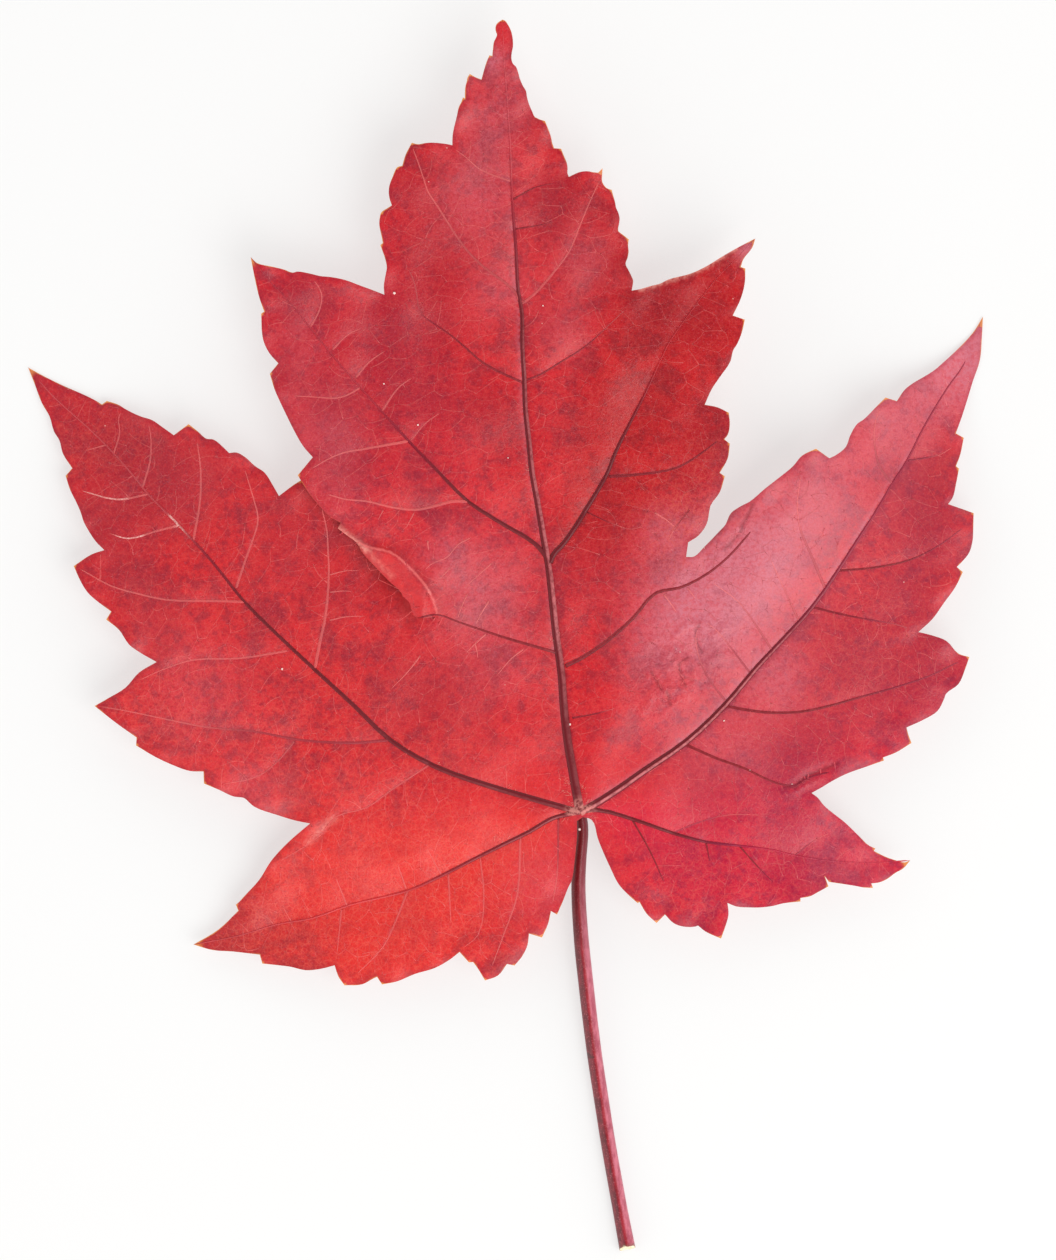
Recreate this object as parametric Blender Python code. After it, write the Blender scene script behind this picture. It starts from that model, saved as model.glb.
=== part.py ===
"""A red maple leaf with its stalk, lying on a table: one solid, as it grew.

Metres, +Z up. The origin is on the table, under the middle of the leaf's box,
and +Y runs from the cut end of the stalk to the tip of the middle lobe.

The leaf was drawn on squared paper before it was modelled. The points below are
squares of that drawing, x to the right and y down the sheet. One driving
dimension, the length of the blade, gives the size of a square.
"""

import bmesh
import bpy
import numpy as np
from mathutils import Matrix, Vector
from mathutils.geometry import delaunay_2d_cdt

# Driving dimensions
BLADE_LENGTH = 0.0989  # from the head of the stalk to the tip of the middle lobe
BLADE_THICKNESS = 0.0006
STALK_HEAD_RADIUS = 0.00074
STALK_RADIUS = 0.00090
STALK_FOOT_RADIUS = 0.00096

# Relief of the veins: raised a little above the blade and more below it
MAIN_VEIN_WIDTH = 0.0013
MAIN_VEIN_TOP = 0.00028
MAIN_VEIN_UNDER = 0.00070
SIDE_VEIN_WIDTH = 0.0010
SIDE_VEIN_TOP = 0.00016
SIDE_VEIN_UNDER = 0.00030

# The blade sags along its veins and swells between them
MAIN_VALLEY_DEPTH = 0.0010
MAIN_VALLEY_REACH = 0.0050
SIDE_VALLEY_DEPTH = 0.00028
SIDE_VALLEY_REACH = 0.0016

# Where the middle lobe lies over the left one
OVERLAP_RISE = 0.0009
OVERLAP_DIP = 0.0007
OVERLAP_REACH = 0.0070
FOLD_HEIGHT = 0.0004
FOLD_REACH = 0.0016

# Spacing of the mesh
INNER_SPACING = 0.0026
MAIN_VEIN_STEP = 0.0032
SIDE_VEIN_STEP = 0.0038
STALK_STEP = 0.0022
STALK_SIDES = 14

# Named places of the drawing
HEAD = (580, 812)
BASE_NOTCH = (583, 817)
TIP_BASAL_LEFT = (193, 945)
TIP_LEFT = (27, 367)
TIP_SHOULDER_LEFT = (251, 257)
TIP_MIDDLE = (502, 21)
TIP_SHOULDER_RIGHT = (755, 239)
TIP_RIGHT = (984, 316)
TIP_BASAL_RIGHT = (911, 860)
SINUS_BASAL_LEFT = (310, 823)
SINUS_LEFT = (432, 617)
SINUS_RIGHT = (686, 557)
SINUS_BASAL_RIGHT = (812, 793)
NOTCH_SHOULDER_LEFT = (384, 294)
NOTCH_SHOULDER_RIGHT = (631, 291)

SQUARE = BLADE_LENGTH / (HEAD[1] - TIP_MIDDLE[1])

# The margin, followed clockwise from the head of the stalk, tooth by tooth
BASAL_LEFT_LOWER = [
    (576, 822), (574, 842), (573, 860), (572, 881), (568, 888), (563, 901), (557, 914), (551, 911),
    (548, 924), (542, 937), (529, 933), (528, 945), (522, 956), (514, 965), (507, 964), (498, 975),
    (485, 980), (478, 968), (473, 962), (460, 952), (450, 959), (435, 968), (415, 974), (397, 981),
    (382, 984), (377, 977), (362, 984), (344, 985), (338, 977), (334, 966), (321, 969), (306, 970),
    (290, 967), (277, 965), (262, 964), (259, 955), (233, 952), (212, 950),
]
BASAL_LEFT_UPPER = [
    (218, 930), (238, 911), (235, 905), (243, 897), (259, 880), (271, 861), (288, 842),
]
LEFT_LOWER = [
    (295, 820), (277, 815), (254, 806), (244, 798), (233, 796), (219, 790), (204, 783), (203, 772),
    (190, 771), (175, 766), (155, 757), (136, 745), (136, 737), (113, 721), (94, 706), (108, 698),
    (125, 688), (139, 673), (156, 662), (139, 652), (129, 644), (119, 630), (106, 619), (111, 611),
    (95, 600), (87, 592), (80, 580), (73, 566), (91, 554), (104, 550), (95, 541), (89, 532), (83, 522),
    (80, 511), (69, 489), (65, 475), (71, 468), (62, 453), (53, 431), (48, 416), (41, 403), (33, 383),
]
LEFT_UPPER = [
    (43, 376), (63, 385), (82, 394), (101, 404), (106, 400), (124, 408), (140, 416), (152, 420),
    (173, 435), (188, 424), (198, 432), (206, 438), (213, 439), (229, 453), (236, 452), (255, 466),
    (264, 472), (273, 485), (279, 496), (300, 481),
]
LEFT_UNDER_MIDDLE = [
    (318, 474), (336, 497), (353, 523), (374, 548), (389, 568), (397, 588), (404, 607), (414, 620),
]
MIDDLE_OVER_LEFT = [
    (423, 617), (412, 613), (405, 604), (401, 593), (390, 582), (376, 568), (362, 552), (357, 543),
    (348, 536), (338, 528), (341, 523), (332, 518), (321, 507), (310, 495), (298, 475),
]
SHOULDER_LEFT_LOWER = [
    (313, 457), (303, 446), (295, 432), (285, 413), (280, 402), (275, 390), (270, 374), (278, 363),
    (270, 354), (264, 343), (261, 314), (264, 312), (259, 297), (255, 280),
]
SHOULDER_LEFT_UPPER = [
    (257, 263), (272, 267), (293, 273), (310, 274), (331, 277), (345, 280), (360, 286), (373, 290),
]
MIDDLE_LEFT = [
    (386, 280), (387, 268), (385, 258), (380, 245), (383, 243), (380, 231), (379, 223), (381, 213),
    (392, 206), (389, 194), (391, 182), (397, 168), (402, 166), (406, 155), (412, 143), (425, 144),
    (440, 144), (452, 146), (453, 134), (457, 117), (463, 98), (465, 99), (466, 85), (470, 75),
    (481, 80), (485, 68), (489, 56), (492, 57), (494, 43), (496, 33), (497, 25),
]
MIDDLE_RIGHT = [
    (508, 26), (512, 38), (512, 53), (513, 65), (518, 73), (523, 87), (527, 98), (532, 112),
    (537, 119), (545, 122), (550, 136), (554, 149), (561, 149), (566, 163), (568, 177), (579, 173),
    (593, 173), (602, 169), (602, 182), (607, 189), (611, 190), (616, 208), (619, 221), (618, 232),
    (628, 240), (628, 252), (625, 264), (633, 281),
]
SHOULDER_RIGHT_UPPER = [
    (650, 286), (668, 280), (690, 274), (706, 266), (719, 258), (735, 249),
]
SHOULDER_RIGHT_LOWER = [
    (743, 256), (740, 267), (745, 270), (744, 283), (740, 299), (732, 316), (744, 320), (741, 333),
    (733, 350), (730, 362), (719, 377), (711, 389), (704, 405), (717, 407), (728, 413), (729, 424),
    (724, 439), (729, 444), (727, 458), (719, 473), (724, 477), (719, 492), (710, 505), (706, 524),
    (698, 535), (688, 543),
]
RIGHT_UPPER = [
    (694, 556), (703, 547), (720, 530), (730, 513), (749, 502), (765, 488), (778, 478), (792, 466),
    (801, 456), (815, 449), (829, 458), (845, 447), (850, 435), (857, 424), (875, 408), (885, 397),
    (897, 401), (905, 389), (923, 377), (944, 362), (955, 351), (974, 332),
]
RIGHT_LOWER = [
    (983, 336), (981, 359), (974, 380), (968, 400), (962, 417), (956, 433), (964, 438), (961, 454),
    (956, 466), (959, 469), (956, 483), (948, 504), (960, 508), (974, 513), (973, 529), (973, 540),
    (969, 552), (957, 567), (963, 572), (955, 587), (944, 603), (932, 619), (918, 632), (932, 635),
    (946, 641), (958, 653), (969, 657), (965, 668), (958, 684), (946, 694), (937, 711), (925, 719),
    (906, 727), (911, 743), (896, 752), (883, 757), (868, 766), (846, 774), (829, 782),
]
BASAL_RIGHT_UPPER = [
    (817, 797), (833, 813), (845, 822), (858, 835), (869, 845), (875, 851), (886, 857), (898, 861),
]
BASAL_RIGHT_LOWER = [
    (903, 868), (887, 879), (871, 883), (863, 887), (842, 884), (829, 882), (825, 877), (828, 886),
    (809, 896), (800, 901), (783, 903), (760, 907), (736, 906), (727, 903), (728, 914), (725, 927),
    (721, 938), (705, 931), (695, 926), (683, 926), (673, 923), (665, 914), (656, 923), (646, 913),
    (637, 903), (627, 893), (618, 884), (610, 867), (603, 851), (597, 837), (592, 821),
]

# The line that parts the two halves of the drawing, from the left sinus to the base
SEAM = [(454, 639), (480, 664), (506, 692), (530, 722), (551, 754), (568, 786), HEAD]

# The main veins, from the head of the stalk to the tips
MIDRIB = [
    HEAD, (569, 740), (563, 676), (556, 630), (550, 569), (541, 523), (531, 472), (525, 409),
    (522, 348), (521, 314), (515, 251), (511, 200), (509, 150), (506, 90), TIP_MIDDLE,
]
LEFT_MAIN = [
    HEAD, (532, 796), (488, 783), (435, 764), (391, 739), (353, 703), (315, 670), (277, 634),
    (243, 601), (213, 563), (165, 511), (130, 472), (86, 426), TIP_LEFT,
]
RIGHT_MAIN = [
    HEAD, (616, 789), (644, 769), (686, 741), (725, 705), (756, 668), (784, 638), (812, 607),
    (840, 567), (875, 513), (907, 460), (923, 428), (948, 387), TIP_RIGHT,
]
BASAL_LEFT_MAIN = [
    HEAD, (552, 818), (502, 845), (444, 874), (409, 890), (350, 905), (277, 924), TIP_BASAL_LEFT,
]
BASAL_RIGHT_MAIN = [
    HEAD, (636, 821), (672, 834), (706, 842), (773, 849), (829, 861), TIP_BASAL_RIGHT,
]
SHOULDER_LEFT_MAIN = [
    (545, 549), (503, 524), (468, 501), (438, 472), (409, 441), (358, 385), (311, 329), (270, 281),
    TIP_SHOULDER_LEFT,
]
SHOULDER_RIGHT_MAIN = [
    (549, 556), (562, 545), (575, 527), (587, 508), (607, 474), (630, 422), (659, 362), (690, 312),
    (717, 278), TIP_SHOULDER_RIGHT,
]
MAIN_VEINS = [
    MIDRIB, LEFT_MAIN, RIGHT_MAIN, BASAL_LEFT_MAIN, BASAL_RIGHT_MAIN,
    SHOULDER_LEFT_MAIN, SHOULDER_RIGHT_MAIN,
]

# The side veins, from the main vein outwards
SIDE_VEINS = [
    # of the midrib
    [(522, 382), (482, 362), (449, 334), (421, 314), (409, 270)],
    [(525, 380), (560, 362), (586, 346), (625, 309)],
    [(519, 300), (482, 266), (438, 208), (424, 180), (414, 152)],
    [(522, 304), (553, 273), (580, 226), (597, 184)],
    [(511, 182), (480, 170), (458, 156)],
    [(513, 200), (535, 188), (553, 184)],
    [(558, 652), (530, 645), (483, 630), (446, 618)],
    [(566, 666), (607, 640), (633, 618), (655, 593), (706, 574), (748, 534)],
    [(572, 718), (616, 708)],
    # of the shoulders of the middle lobe
    [(468, 501), (432, 508), (390, 508), (334, 496)],
    [(408, 441), (360, 450), (318, 464)],
    [(360, 396), (335, 398), (300, 396)],
    [(411, 440), (440, 413)],
    [(382, 411), (413, 377)],
    [(356, 377), (385, 351)],
    [(333, 350), (360, 329)],
    [(311, 327), (321, 293)],
    [(609, 476), (643, 474), (677, 467), (716, 442)],
    [(587, 517), (627, 529)],
    # of the left lobe
    [(243, 602), (213, 601), (167, 600), (111, 586), (82, 571)],
    [(389, 740), (300, 740), (254, 731), (208, 727), (104, 706)],
    [(287, 651), (238, 658), (192, 660), (168, 664)],
    [(178, 525), (156, 531), (114, 534)],
    [(147, 494), (117, 499), (84, 491)],
    [(430, 764), (391, 790), (366, 808), (335, 817)],
    [(294, 741), (256, 777), (226, 783)],
    [(315, 665), (325, 616), (329, 573), (327, 531), (323, 508)],
    [(236, 583), (252, 540), (258, 520), (247, 476)],
    [(193, 531), (200, 470), (196, 440)],
    [(142, 484), (150, 437), (148, 424)],
    # of the right lobe
    [(725, 709), (762, 712), (798, 712), (860, 697), (930, 675), (957, 663)],
    [(683, 747), (745, 768), (784, 784)],
    [(815, 607), (840, 614), (894, 624)],
    [(843, 570), (874, 567), (911, 559), (960, 530)],
    [(892, 483), (875, 447), (880, 408)],
    [(822, 584), (811, 555), (799, 527), (797, 502), (800, 478)],
    [(796, 615), (781, 582), (770, 559)],
    [(767, 642), (737, 601), (714, 584)],
    # of the two basal lobes
    [(520, 838), (517, 895), (505, 930), (493, 962)],
    [(448, 877), (450, 924)],
    [(407, 892), (397, 918), (360, 970)],
    [(341, 909), (337, 950)],
    [(441, 874), (426, 848)],
    [(406, 889), (397, 862)],
    [(633, 821), (650, 851), (664, 882)],
    [(739, 847), (773, 882)],
]

# Heights of the blade's middle above the table in millimetres: (x, y, height).
# It lies on its left and right tips and on the foot of its stalk.
STATIONS = [
    (580, 811, 4.5), (563, 680, 4.8), (546, 555, 5.2), (524, 380, 6.0), (514, 240, 7.2),
    (508, 130, 8.4), (502, 21, 9.4),
    (455, 560, 6.2), (400, 330, 6.6), (425, 150, 8.2), (590, 180, 8.2), (625, 400, 6.4),
    (251, 257, 7.4), (381, 411, 6.0), (384, 290, 7.2), (298, 475, 6.6), (265, 340, 7.0),
    (345, 530, 6.4), (405, 600, 6.0), (432, 617, 5.8),
    (755, 239, 7.2), (660, 360, 6.0), (631, 291, 7.6), (740, 320, 7.2), (728, 440, 7.4),
    (703, 530, 7.0), (686, 557, 6.8),
    (686, 741, 4.4), (812, 607, 4.2), (907, 460, 2.5), (964, 364, 0.15), (984, 316, 0.0),
    (650, 650, 6.0), (760, 530, 7.8), (815, 450, 8.2), (885, 400, 4.8), (940, 368, 1.2),
    (972, 390, 0.3), (958, 500, 3.4), (963, 572, 4.2), (969, 657, 4.6), (911, 743, 4.8),
    (812, 793, 5.2),
    (706, 842, 4.0), (829, 861, 3.8), (911, 860, 3.6), (722, 938, 5.2), (645, 912, 5.4),
    (604, 852, 5.2), (865, 885, 4.4),
    (502, 845, 4.2), (409, 890, 3.4), (277, 924, 2.2), (193, 945, 1.8), (572, 880, 5.5),
    (540, 937, 5.4), (485, 980, 5.0), (382, 984, 4.6), (262, 964, 3.0), (271, 861, 4.0),
    (310, 823, 4.6),
    (435, 764, 4.2), (277, 634, 3.4), (165, 511, 2.0), (80, 420, 0.3), (27, 367, 0.0),
    (94, 706, 4.6), (156, 662, 4.6), (73, 566, 4.0), (80, 511, 3.0), (50, 430, 0.9),
    (220, 790, 5.2), (110, 408, 1.0), (188, 430, 4.0), (260, 470, 5.2), (279, 496, 5.4),
    (330, 560, 5.2), (430, 690, 5.0),
]

# The fold that lifts the middle lobe beside the left sinus
FOLD_LINE = [(436, 614), (432, 597), (423, 581), (408, 566), (390, 554), (369, 545)]

# The line of the stalk: (x, y, height of its middle in millimetres)
STALK_LINE = [
    (566, 724, 4.6), (571, 760, 4.1), (576, 790, 3.7), (580, 811, 3.5), (582, 828, 3.4),
    (580, 860, 3.2), (578, 884, 3.0), (581, 936, 2.5), (587, 988, 2.0), (591, 1026, 1.6),
    (595, 1059, 1.3), (602, 1102, 1.05), (608, 1141, 0.92), (617, 1192, 0.86), (624, 1230, 0.86),
    (628, 1250, 0.86),
]

# Colours and finishes, linear
LEAF_COLOUR = (0.47, 0.028, 0.038, 1)
LEAF_ROUGHNESS = 0.45
STALK_COLOUR = (0.20, 0.020, 0.045, 1)
STALK_ROUGHNESS = 0.38


def clear_scene():
    for thing in list(bpy.data.objects):
        bpy.data.objects.remove(thing, do_unlink=True)


def on_table(places):
    """Squares of the drawing as metres on the table."""
    places = np.array(places, float)
    return places * (SQUARE, -SQUARE)


def ramp(low, high, values):
    """0 below low, 1 above high and a smooth rise between them."""
    share = np.clip((values - low) / (high - low), 0, 1)
    return share * share * (3 - 2 * share)


def beside(points, line):
    """How far each point lies from a line, and how far along it the nearest place is, from 0 to 1."""
    steps = np.diff(line, axis=0)
    lengths = np.linalg.norm(steps, axis=1)
    reach = points[:, None] - line[:-1]
    shares = np.clip((reach * steps).sum(2) / lengths**2, 0, 1)
    gaps = np.linalg.norm(reach - shares[..., None] * steps, axis=2)
    nearest = gaps.argmin(1)
    rows = np.arange(len(points))
    run = np.concatenate([[0], np.cumsum(lengths)])
    along = run[nearest] + shares[rows, nearest] * lengths[nearest]
    return gaps[rows, nearest], along / run[-1]


def spaced(line, step):
    """The line as evenly spaced points, about a step apart."""
    run = np.concatenate([[0], np.cumsum(np.linalg.norm(np.diff(line, axis=0), axis=1))])
    stops = np.linspace(0, run[-1], max(2, round(run[-1] / step) + 1))
    return np.stack([np.interp(stops, run, column) for column in line.T], 1)


def inside(points, outline):
    """True for each point that lies within the closed outline."""
    x, y = points[:, :1], points[:, 1:]
    ends = np.roll(outline, -1, axis=0)
    spans = (outline[:, 1] > y) != (ends[:, 1] > y)
    slope = (ends[:, 0] - outline[:, 0]) / np.where(ends[:, 1] == outline[:, 1], 1, ends[:, 1] - outline[:, 1])
    crossings = outline[:, 0] + (y - outline[:, 1]) * slope
    return (spans & (x < crossings)).sum(1) % 2 == 1


def bend(radii):
    """The thin plate's r squared log r."""
    return radii**2 * np.log(np.maximum(radii, 1e-12))


class ThinPlate:
    """A smooth surface through given heights, bent as little as a thin plate would be."""

    def __init__(self, places, heights):
        self.places = places
        count = len(places)
        flat = np.hstack([np.ones((count, 1)), places])
        gaps = np.linalg.norm(places[:, None] - places, axis=2)
        table = np.zeros((count + 3, count + 3))
        table[:count, :count] = bend(gaps)
        table[:count, count:] = flat
        table[count:, :count] = flat.T
        self.weights = np.linalg.solve(table, np.concatenate([heights, np.zeros(3)]))

    def __call__(self, points):
        gaps = np.linalg.norm(points[:, None] - self.places, axis=2)
        flat = np.hstack([np.ones((len(points), 1)), points])
        return bend(gaps) @ self.weights[:-3] + flat @ self.weights[-3:]


def valleys(points, veins, depth, reach):
    """How far the blade sags beside these veins: most at a vein, and nothing at its tip."""
    level = np.ones(len(points))
    for vein in veins:
        gap, along = beside(points, on_table(vein))
        level *= 1 - np.exp(-gap / reach) * (1 - along**2)
    return -depth * (1 - level)


def vein_relief(points, veins, width):
    """From 0 beside the veins to 1 on the middle of a vein at its thick end."""
    relief = np.zeros(len(points))
    for vein in veins:
        gap, along = beside(points, on_table(vein))
        full = 1 - 0.65 * along
        relief = np.maximum(relief, full * np.clip(1 - gap / (0.5 * width), 0, 1))
    return relief


class BladeSurface:
    """The height of the blade's middle over the table, for either half of the drawing."""

    def __init__(self):
        stations = np.array(STATIONS)
        places = on_table(stations[:, :2])
        self.plate = ThinPlate(places, stations[:, 2] / 1000 - self.sag(places))

    def sag(self, points):
        main = valleys(points, MAIN_VEINS, MAIN_VALLEY_DEPTH, MAIN_VALLEY_REACH)
        side = valleys(points, SIDE_VEINS, SIDE_VALLEY_DEPTH, SIDE_VALLEY_REACH)
        return main + side

    def __call__(self, points, over_left):
        height = self.plate(points) + self.sag(points)
        gap, along = beside(points, on_table([SINUS_LEFT] + MIDDLE_OVER_LEFT))
        share = ramp(0.02, 0.22, along) * (1 - ramp(0, OVERLAP_REACH, gap))
        height += share * np.where(over_left, OVERLAP_RISE, -OVERLAP_DIP)
        gap, _ = beside(points, on_table(FOLD_LINE))
        height += np.where(over_left, FOLD_HEIGHT, 0) * np.exp(-gap / FOLD_REACH)
        return height


def vein_lines(outline):
    """The lines along which the mesh is creased: the middle and both flanks of every vein."""
    lines = []
    for veins, width, step in (
        (MAIN_VEINS, MAIN_VEIN_WIDTH, MAIN_VEIN_STEP),
        (SIDE_VEINS, SIDE_VEIN_WIDTH, SIDE_VEIN_STEP),
    ):
        for vein in veins:
            middle = spaced(on_table(vein), step)
            heading = np.gradient(middle, axis=0)
            heading /= np.linalg.norm(heading, axis=1, keepdims=True)
            across = np.stack([-heading[:, 1], heading[:, 0]], 1)
            for side in (-0.5, 0, 0.5):
                line = middle + across * side * width
                clear, _ = beside(line, np.vstack([outline, outline[:1]]))
                kept = inside(line, outline) & (clear > 0.6 * width)
                kept[0] |= side == 0 and kept[1]
                lines.append(line[kept])
    return [line for line in lines if len(line) > 1]


def inner_points(outline, lines):
    """A honeycomb of points inside the outline, clear of it and of the veins."""
    low, high = outline.min(0), outline.max(0)
    row_height = INNER_SPACING * 0.75**0.5
    rows = np.arange(low[1], high[1], row_height)
    places = []
    for number, row in enumerate(rows):
        start = low[0] + (number % 2) * 0.5 * INNER_SPACING
        xs = np.arange(start, high[0], INNER_SPACING)
        places.append(np.stack([xs, np.full(len(xs), row)], 1))
    points = np.vstack(places)
    points = points[inside(points, outline)]
    kept = beside(points, np.vstack([outline, outline[:1]]))[0] > 0.42 * INNER_SPACING
    for line in lines:
        kept &= beside(points, line)[0] > 0.40 * INNER_SPACING
    return points[kept]


def triangulate(outline):
    """One half of the drawing cut into triangles that follow its margin and its veins."""
    lines = vein_lines(outline)
    points = np.vstack([outline, *lines, inner_points(outline, lines)])
    edges = []
    first = len(outline)
    for line in lines:
        edges += [(first + i, first + i + 1) for i in range(len(line) - 1)]
        first += len(line)
    face = list(range(len(outline)))
    flat, _, triangles, *_ = delaunay_2d_cdt([Vector(p) for p in points], edges, [face], 1, 1e-7)
    return np.array([tuple(p) for p in flat]), np.array(triangles)


def counter_clockwise(points, triangles):
    """The triangles, turned where needed so that they all face up."""
    a, b, c = (points[triangles[:, k]] for k in range(3))
    facing = (b[:, 0] - a[:, 0]) * (c[:, 1] - a[:, 1]) - (b[:, 1] - a[:, 1]) * (c[:, 0] - a[:, 0])
    return np.where(facing[:, None] > 0, triangles, triangles[:, ::-1])


def sewn_halves():
    """Both halves of the drawing as one set of triangles, joined along the seam."""
    left = [
        BASE_NOTCH, *BASAL_LEFT_LOWER, TIP_BASAL_LEFT, *BASAL_LEFT_UPPER, SINUS_BASAL_LEFT, *LEFT_LOWER,
        TIP_LEFT, *LEFT_UPPER, *LEFT_UNDER_MIDDLE, SINUS_LEFT, *SEAM,
    ]
    rest = [
        BASE_NOTCH, *SEAM[::-1], SINUS_LEFT, *MIDDLE_OVER_LEFT, *SHOULDER_LEFT_LOWER, TIP_SHOULDER_LEFT,
        *SHOULDER_LEFT_UPPER, NOTCH_SHOULDER_LEFT, *MIDDLE_LEFT, TIP_MIDDLE, *MIDDLE_RIGHT,
        NOTCH_SHOULDER_RIGHT, *SHOULDER_RIGHT_UPPER, TIP_SHOULDER_RIGHT, *SHOULDER_RIGHT_LOWER,
        SINUS_RIGHT, *RIGHT_UPPER, TIP_RIGHT, *RIGHT_LOWER, SINUS_BASAL_RIGHT, *BASAL_RIGHT_UPPER,
        TIP_BASAL_RIGHT, *BASAL_RIGHT_LOWER,
    ]
    seam = on_table([SINUS_LEFT, *SEAM, BASE_NOTCH])
    keys, faces = [], []
    count = 0
    for half, margin in enumerate((left, rest)):
        points, triangles = triangulate(on_table(margin)[::-1])
        triangles = counter_clockwise(points, triangles)
        shared = np.linalg.norm(points[:, None] - seam, axis=2).min(1) < 1e-6
        keys.append(np.column_stack([points, np.where(shared, 0.5, half)]))
        faces.append(triangles + count)
        count += len(points)
    keys = np.vstack(keys)
    _, first, same = np.unique(np.round(keys, 7), axis=0, return_index=True, return_inverse=True)
    points, half = keys[first, :2], keys[first, 2]
    return points, half > 0.6, same.reshape(-1)[np.vstack(faces)]


def upright(points, heights, triangles):
    """The vertical part of each vertex's normal on the sheet of these heights."""
    spots = np.column_stack([points, heights])
    a, b, c = (spots[triangles[:, k]] for k in range(3))
    facing = np.cross(b - a, c - a)
    normals = np.zeros_like(spots)
    for k in range(3):
        np.add.at(normals, triangles[:, k], facing)
    return normals[:, 2] / np.linalg.norm(normals, axis=1)


def rim_edges(triangles):
    """The edges that only one triangle has, in that triangle's direction."""
    edges = np.vstack([triangles[:, [0, 1]], triangles[:, [1, 2]], triangles[:, [2, 0]]])
    size = triangles.max() + 1
    return edges[~np.isin(edges[:, 0] * size + edges[:, 1], edges[:, 1] * size + edges[:, 0])]


def blade_mesh():
    """The blade as a closed mesh: the same triangles above and below, and a rim between them."""
    points, over_left, triangles = sewn_halves()
    middle = BladeSurface()(points, over_left)
    half_height = 0.5 * BLADE_THICKNESS / upright(points, middle, triangles)
    main = vein_relief(points, MAIN_VEINS, MAIN_VEIN_WIDTH)
    side = vein_relief(points, SIDE_VEINS, SIDE_VEIN_WIDTH)
    middle = np.maximum(middle, half_height)
    over = middle + half_height + np.maximum(MAIN_VEIN_TOP * main, SIDE_VEIN_TOP * side)
    under = middle - half_height - np.maximum(MAIN_VEIN_UNDER * main, SIDE_VEIN_UNDER * side)
    under = np.maximum(under, 0)
    count = len(points)
    rim = rim_edges(triangles)
    start, end = rim[:, :1], rim[:, 1:]
    faces = np.vstack([
        triangles,
        triangles[:, ::-1] + count,
        np.hstack([start + count, end + count, end]),
        np.hstack([start + count, end, start]),
    ])
    spots = np.vstack([np.column_stack([points, over]), np.column_stack([points, under])])
    mesh = bpy.data.meshes.new("blade")
    mesh.from_pydata(spots.tolist(), [], faces.tolist())
    return mesh


def smooth_line(line, step):
    """A curve through the points of the line, as evenly spaced points."""
    padded = np.vstack([2 * line[0] - line[1], line, 2 * line[-1] - line[-2]])
    t = np.linspace(0, 1, 9)[:-1, None]
    curve = []
    for a, b, c, d in zip(padded, padded[1:], padded[2:], padded[3:]):
        curve.append(0.5 * (2 * b + (c - a) * t + (2 * a - 5 * b + 4 * c - d) * t**2 + (3 * b - a - 3 * c + d) * t**3))
    return spaced(np.vstack(curve + [line[-1:]]), step)


def stalk_mesh():
    """The stalk as a round rod that thickens to its foot, flat where it rests on the table."""
    drawn = np.array(STALK_LINE)
    line = np.column_stack([on_table(drawn[:, :2]), drawn[:, 2] / 1000])
    line = smooth_line(line, STALK_STEP)
    heading = np.gradient(line, axis=0)
    heading /= np.linalg.norm(heading, axis=1, keepdims=True)
    across = np.cross(heading, (0, 0, 1))
    across /= np.linalg.norm(across, axis=1, keepdims=True)
    upward = np.cross(across, heading)
    share = np.linspace(0, 1, len(line))
    radius = np.interp(share, (0, 0.12, 0.3, 0.9, 1), (
        0.4 * STALK_HEAD_RADIUS, STALK_HEAD_RADIUS, STALK_RADIUS, STALK_RADIUS, STALK_FOOT_RADIUS,
    ))
    turn = np.arange(STALK_SIDES) / STALK_SIDES * 2 * np.pi
    rings = line[:, None] + radius[:, None, None] * (
        across[:, None] * np.cos(turn)[:, None] + upward[:, None] * np.sin(turn)[:, None]
    )
    rings[..., 2] = np.maximum(rings[..., 2], 0)
    shape = bmesh.new()
    loops = [[shape.verts.new(spot) for spot in ring] for ring in rings]
    for ring, following in zip(loops, loops[1:]):
        for k in range(STALK_SIDES):
            after = (k + 1) % STALK_SIDES
            shape.faces.new((ring[k], ring[after], following[after], following[k]))
    shape.faces.new(loops[0][::-1])
    shape.faces.new(loops[-1])
    bmesh.ops.recalc_face_normals(shape, faces=shape.faces[:])
    bmesh.ops.triangulate(shape, faces=shape.faces[:])
    mesh = bpy.data.meshes.new("stalk")
    shape.to_mesh(mesh)
    shape.free()
    return mesh


def finish(name, colour, roughness):
    """A plain material of one colour."""
    material = bpy.data.materials.new(name)
    material.use_nodes = True
    shader = material.node_tree.nodes["Principled BSDF"]
    shader.inputs["Base Color"].default_value = colour
    shader.inputs["Roughness"].default_value = roughness
    shader.inputs["Metallic"].default_value = 0
    material.diffuse_color = colour
    return material


def placed(name, mesh, material):
    """A new object of this mesh and material in the scene."""
    mesh.materials.append(material)
    thing = bpy.data.objects.new(name, mesh)
    bpy.context.scene.collection.objects.link(thing)
    return thing


def joined(leaf, stalk):
    """The leaf with the stalk grown into it."""
    union = leaf.modifiers.new("stalk", "BOOLEAN")
    union.operation = "UNION"
    union.solver = "EXACT"
    union.material_mode = "TRANSFER"
    union.object = stalk
    bpy.context.view_layer.update()
    graph = bpy.context.evaluated_depsgraph_get()
    mesh = bpy.data.meshes.new_from_object(leaf.evaluated_get(graph), depsgraph=graph)
    leaf.modifiers.clear()
    leaf.data = mesh
    bpy.data.objects.remove(stalk, do_unlink=True)


def centre_on_origin(leaf):
    """Moves the mesh so that the middle of its box is over the origin."""
    spots = np.array([vertex.co for vertex in leaf.data.vertices])
    middle = 0.5 * (spots.min(0) + spots.max(0))
    leaf.data.transform(Matrix.Translation((-middle[0], -middle[1], 0)))


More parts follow.
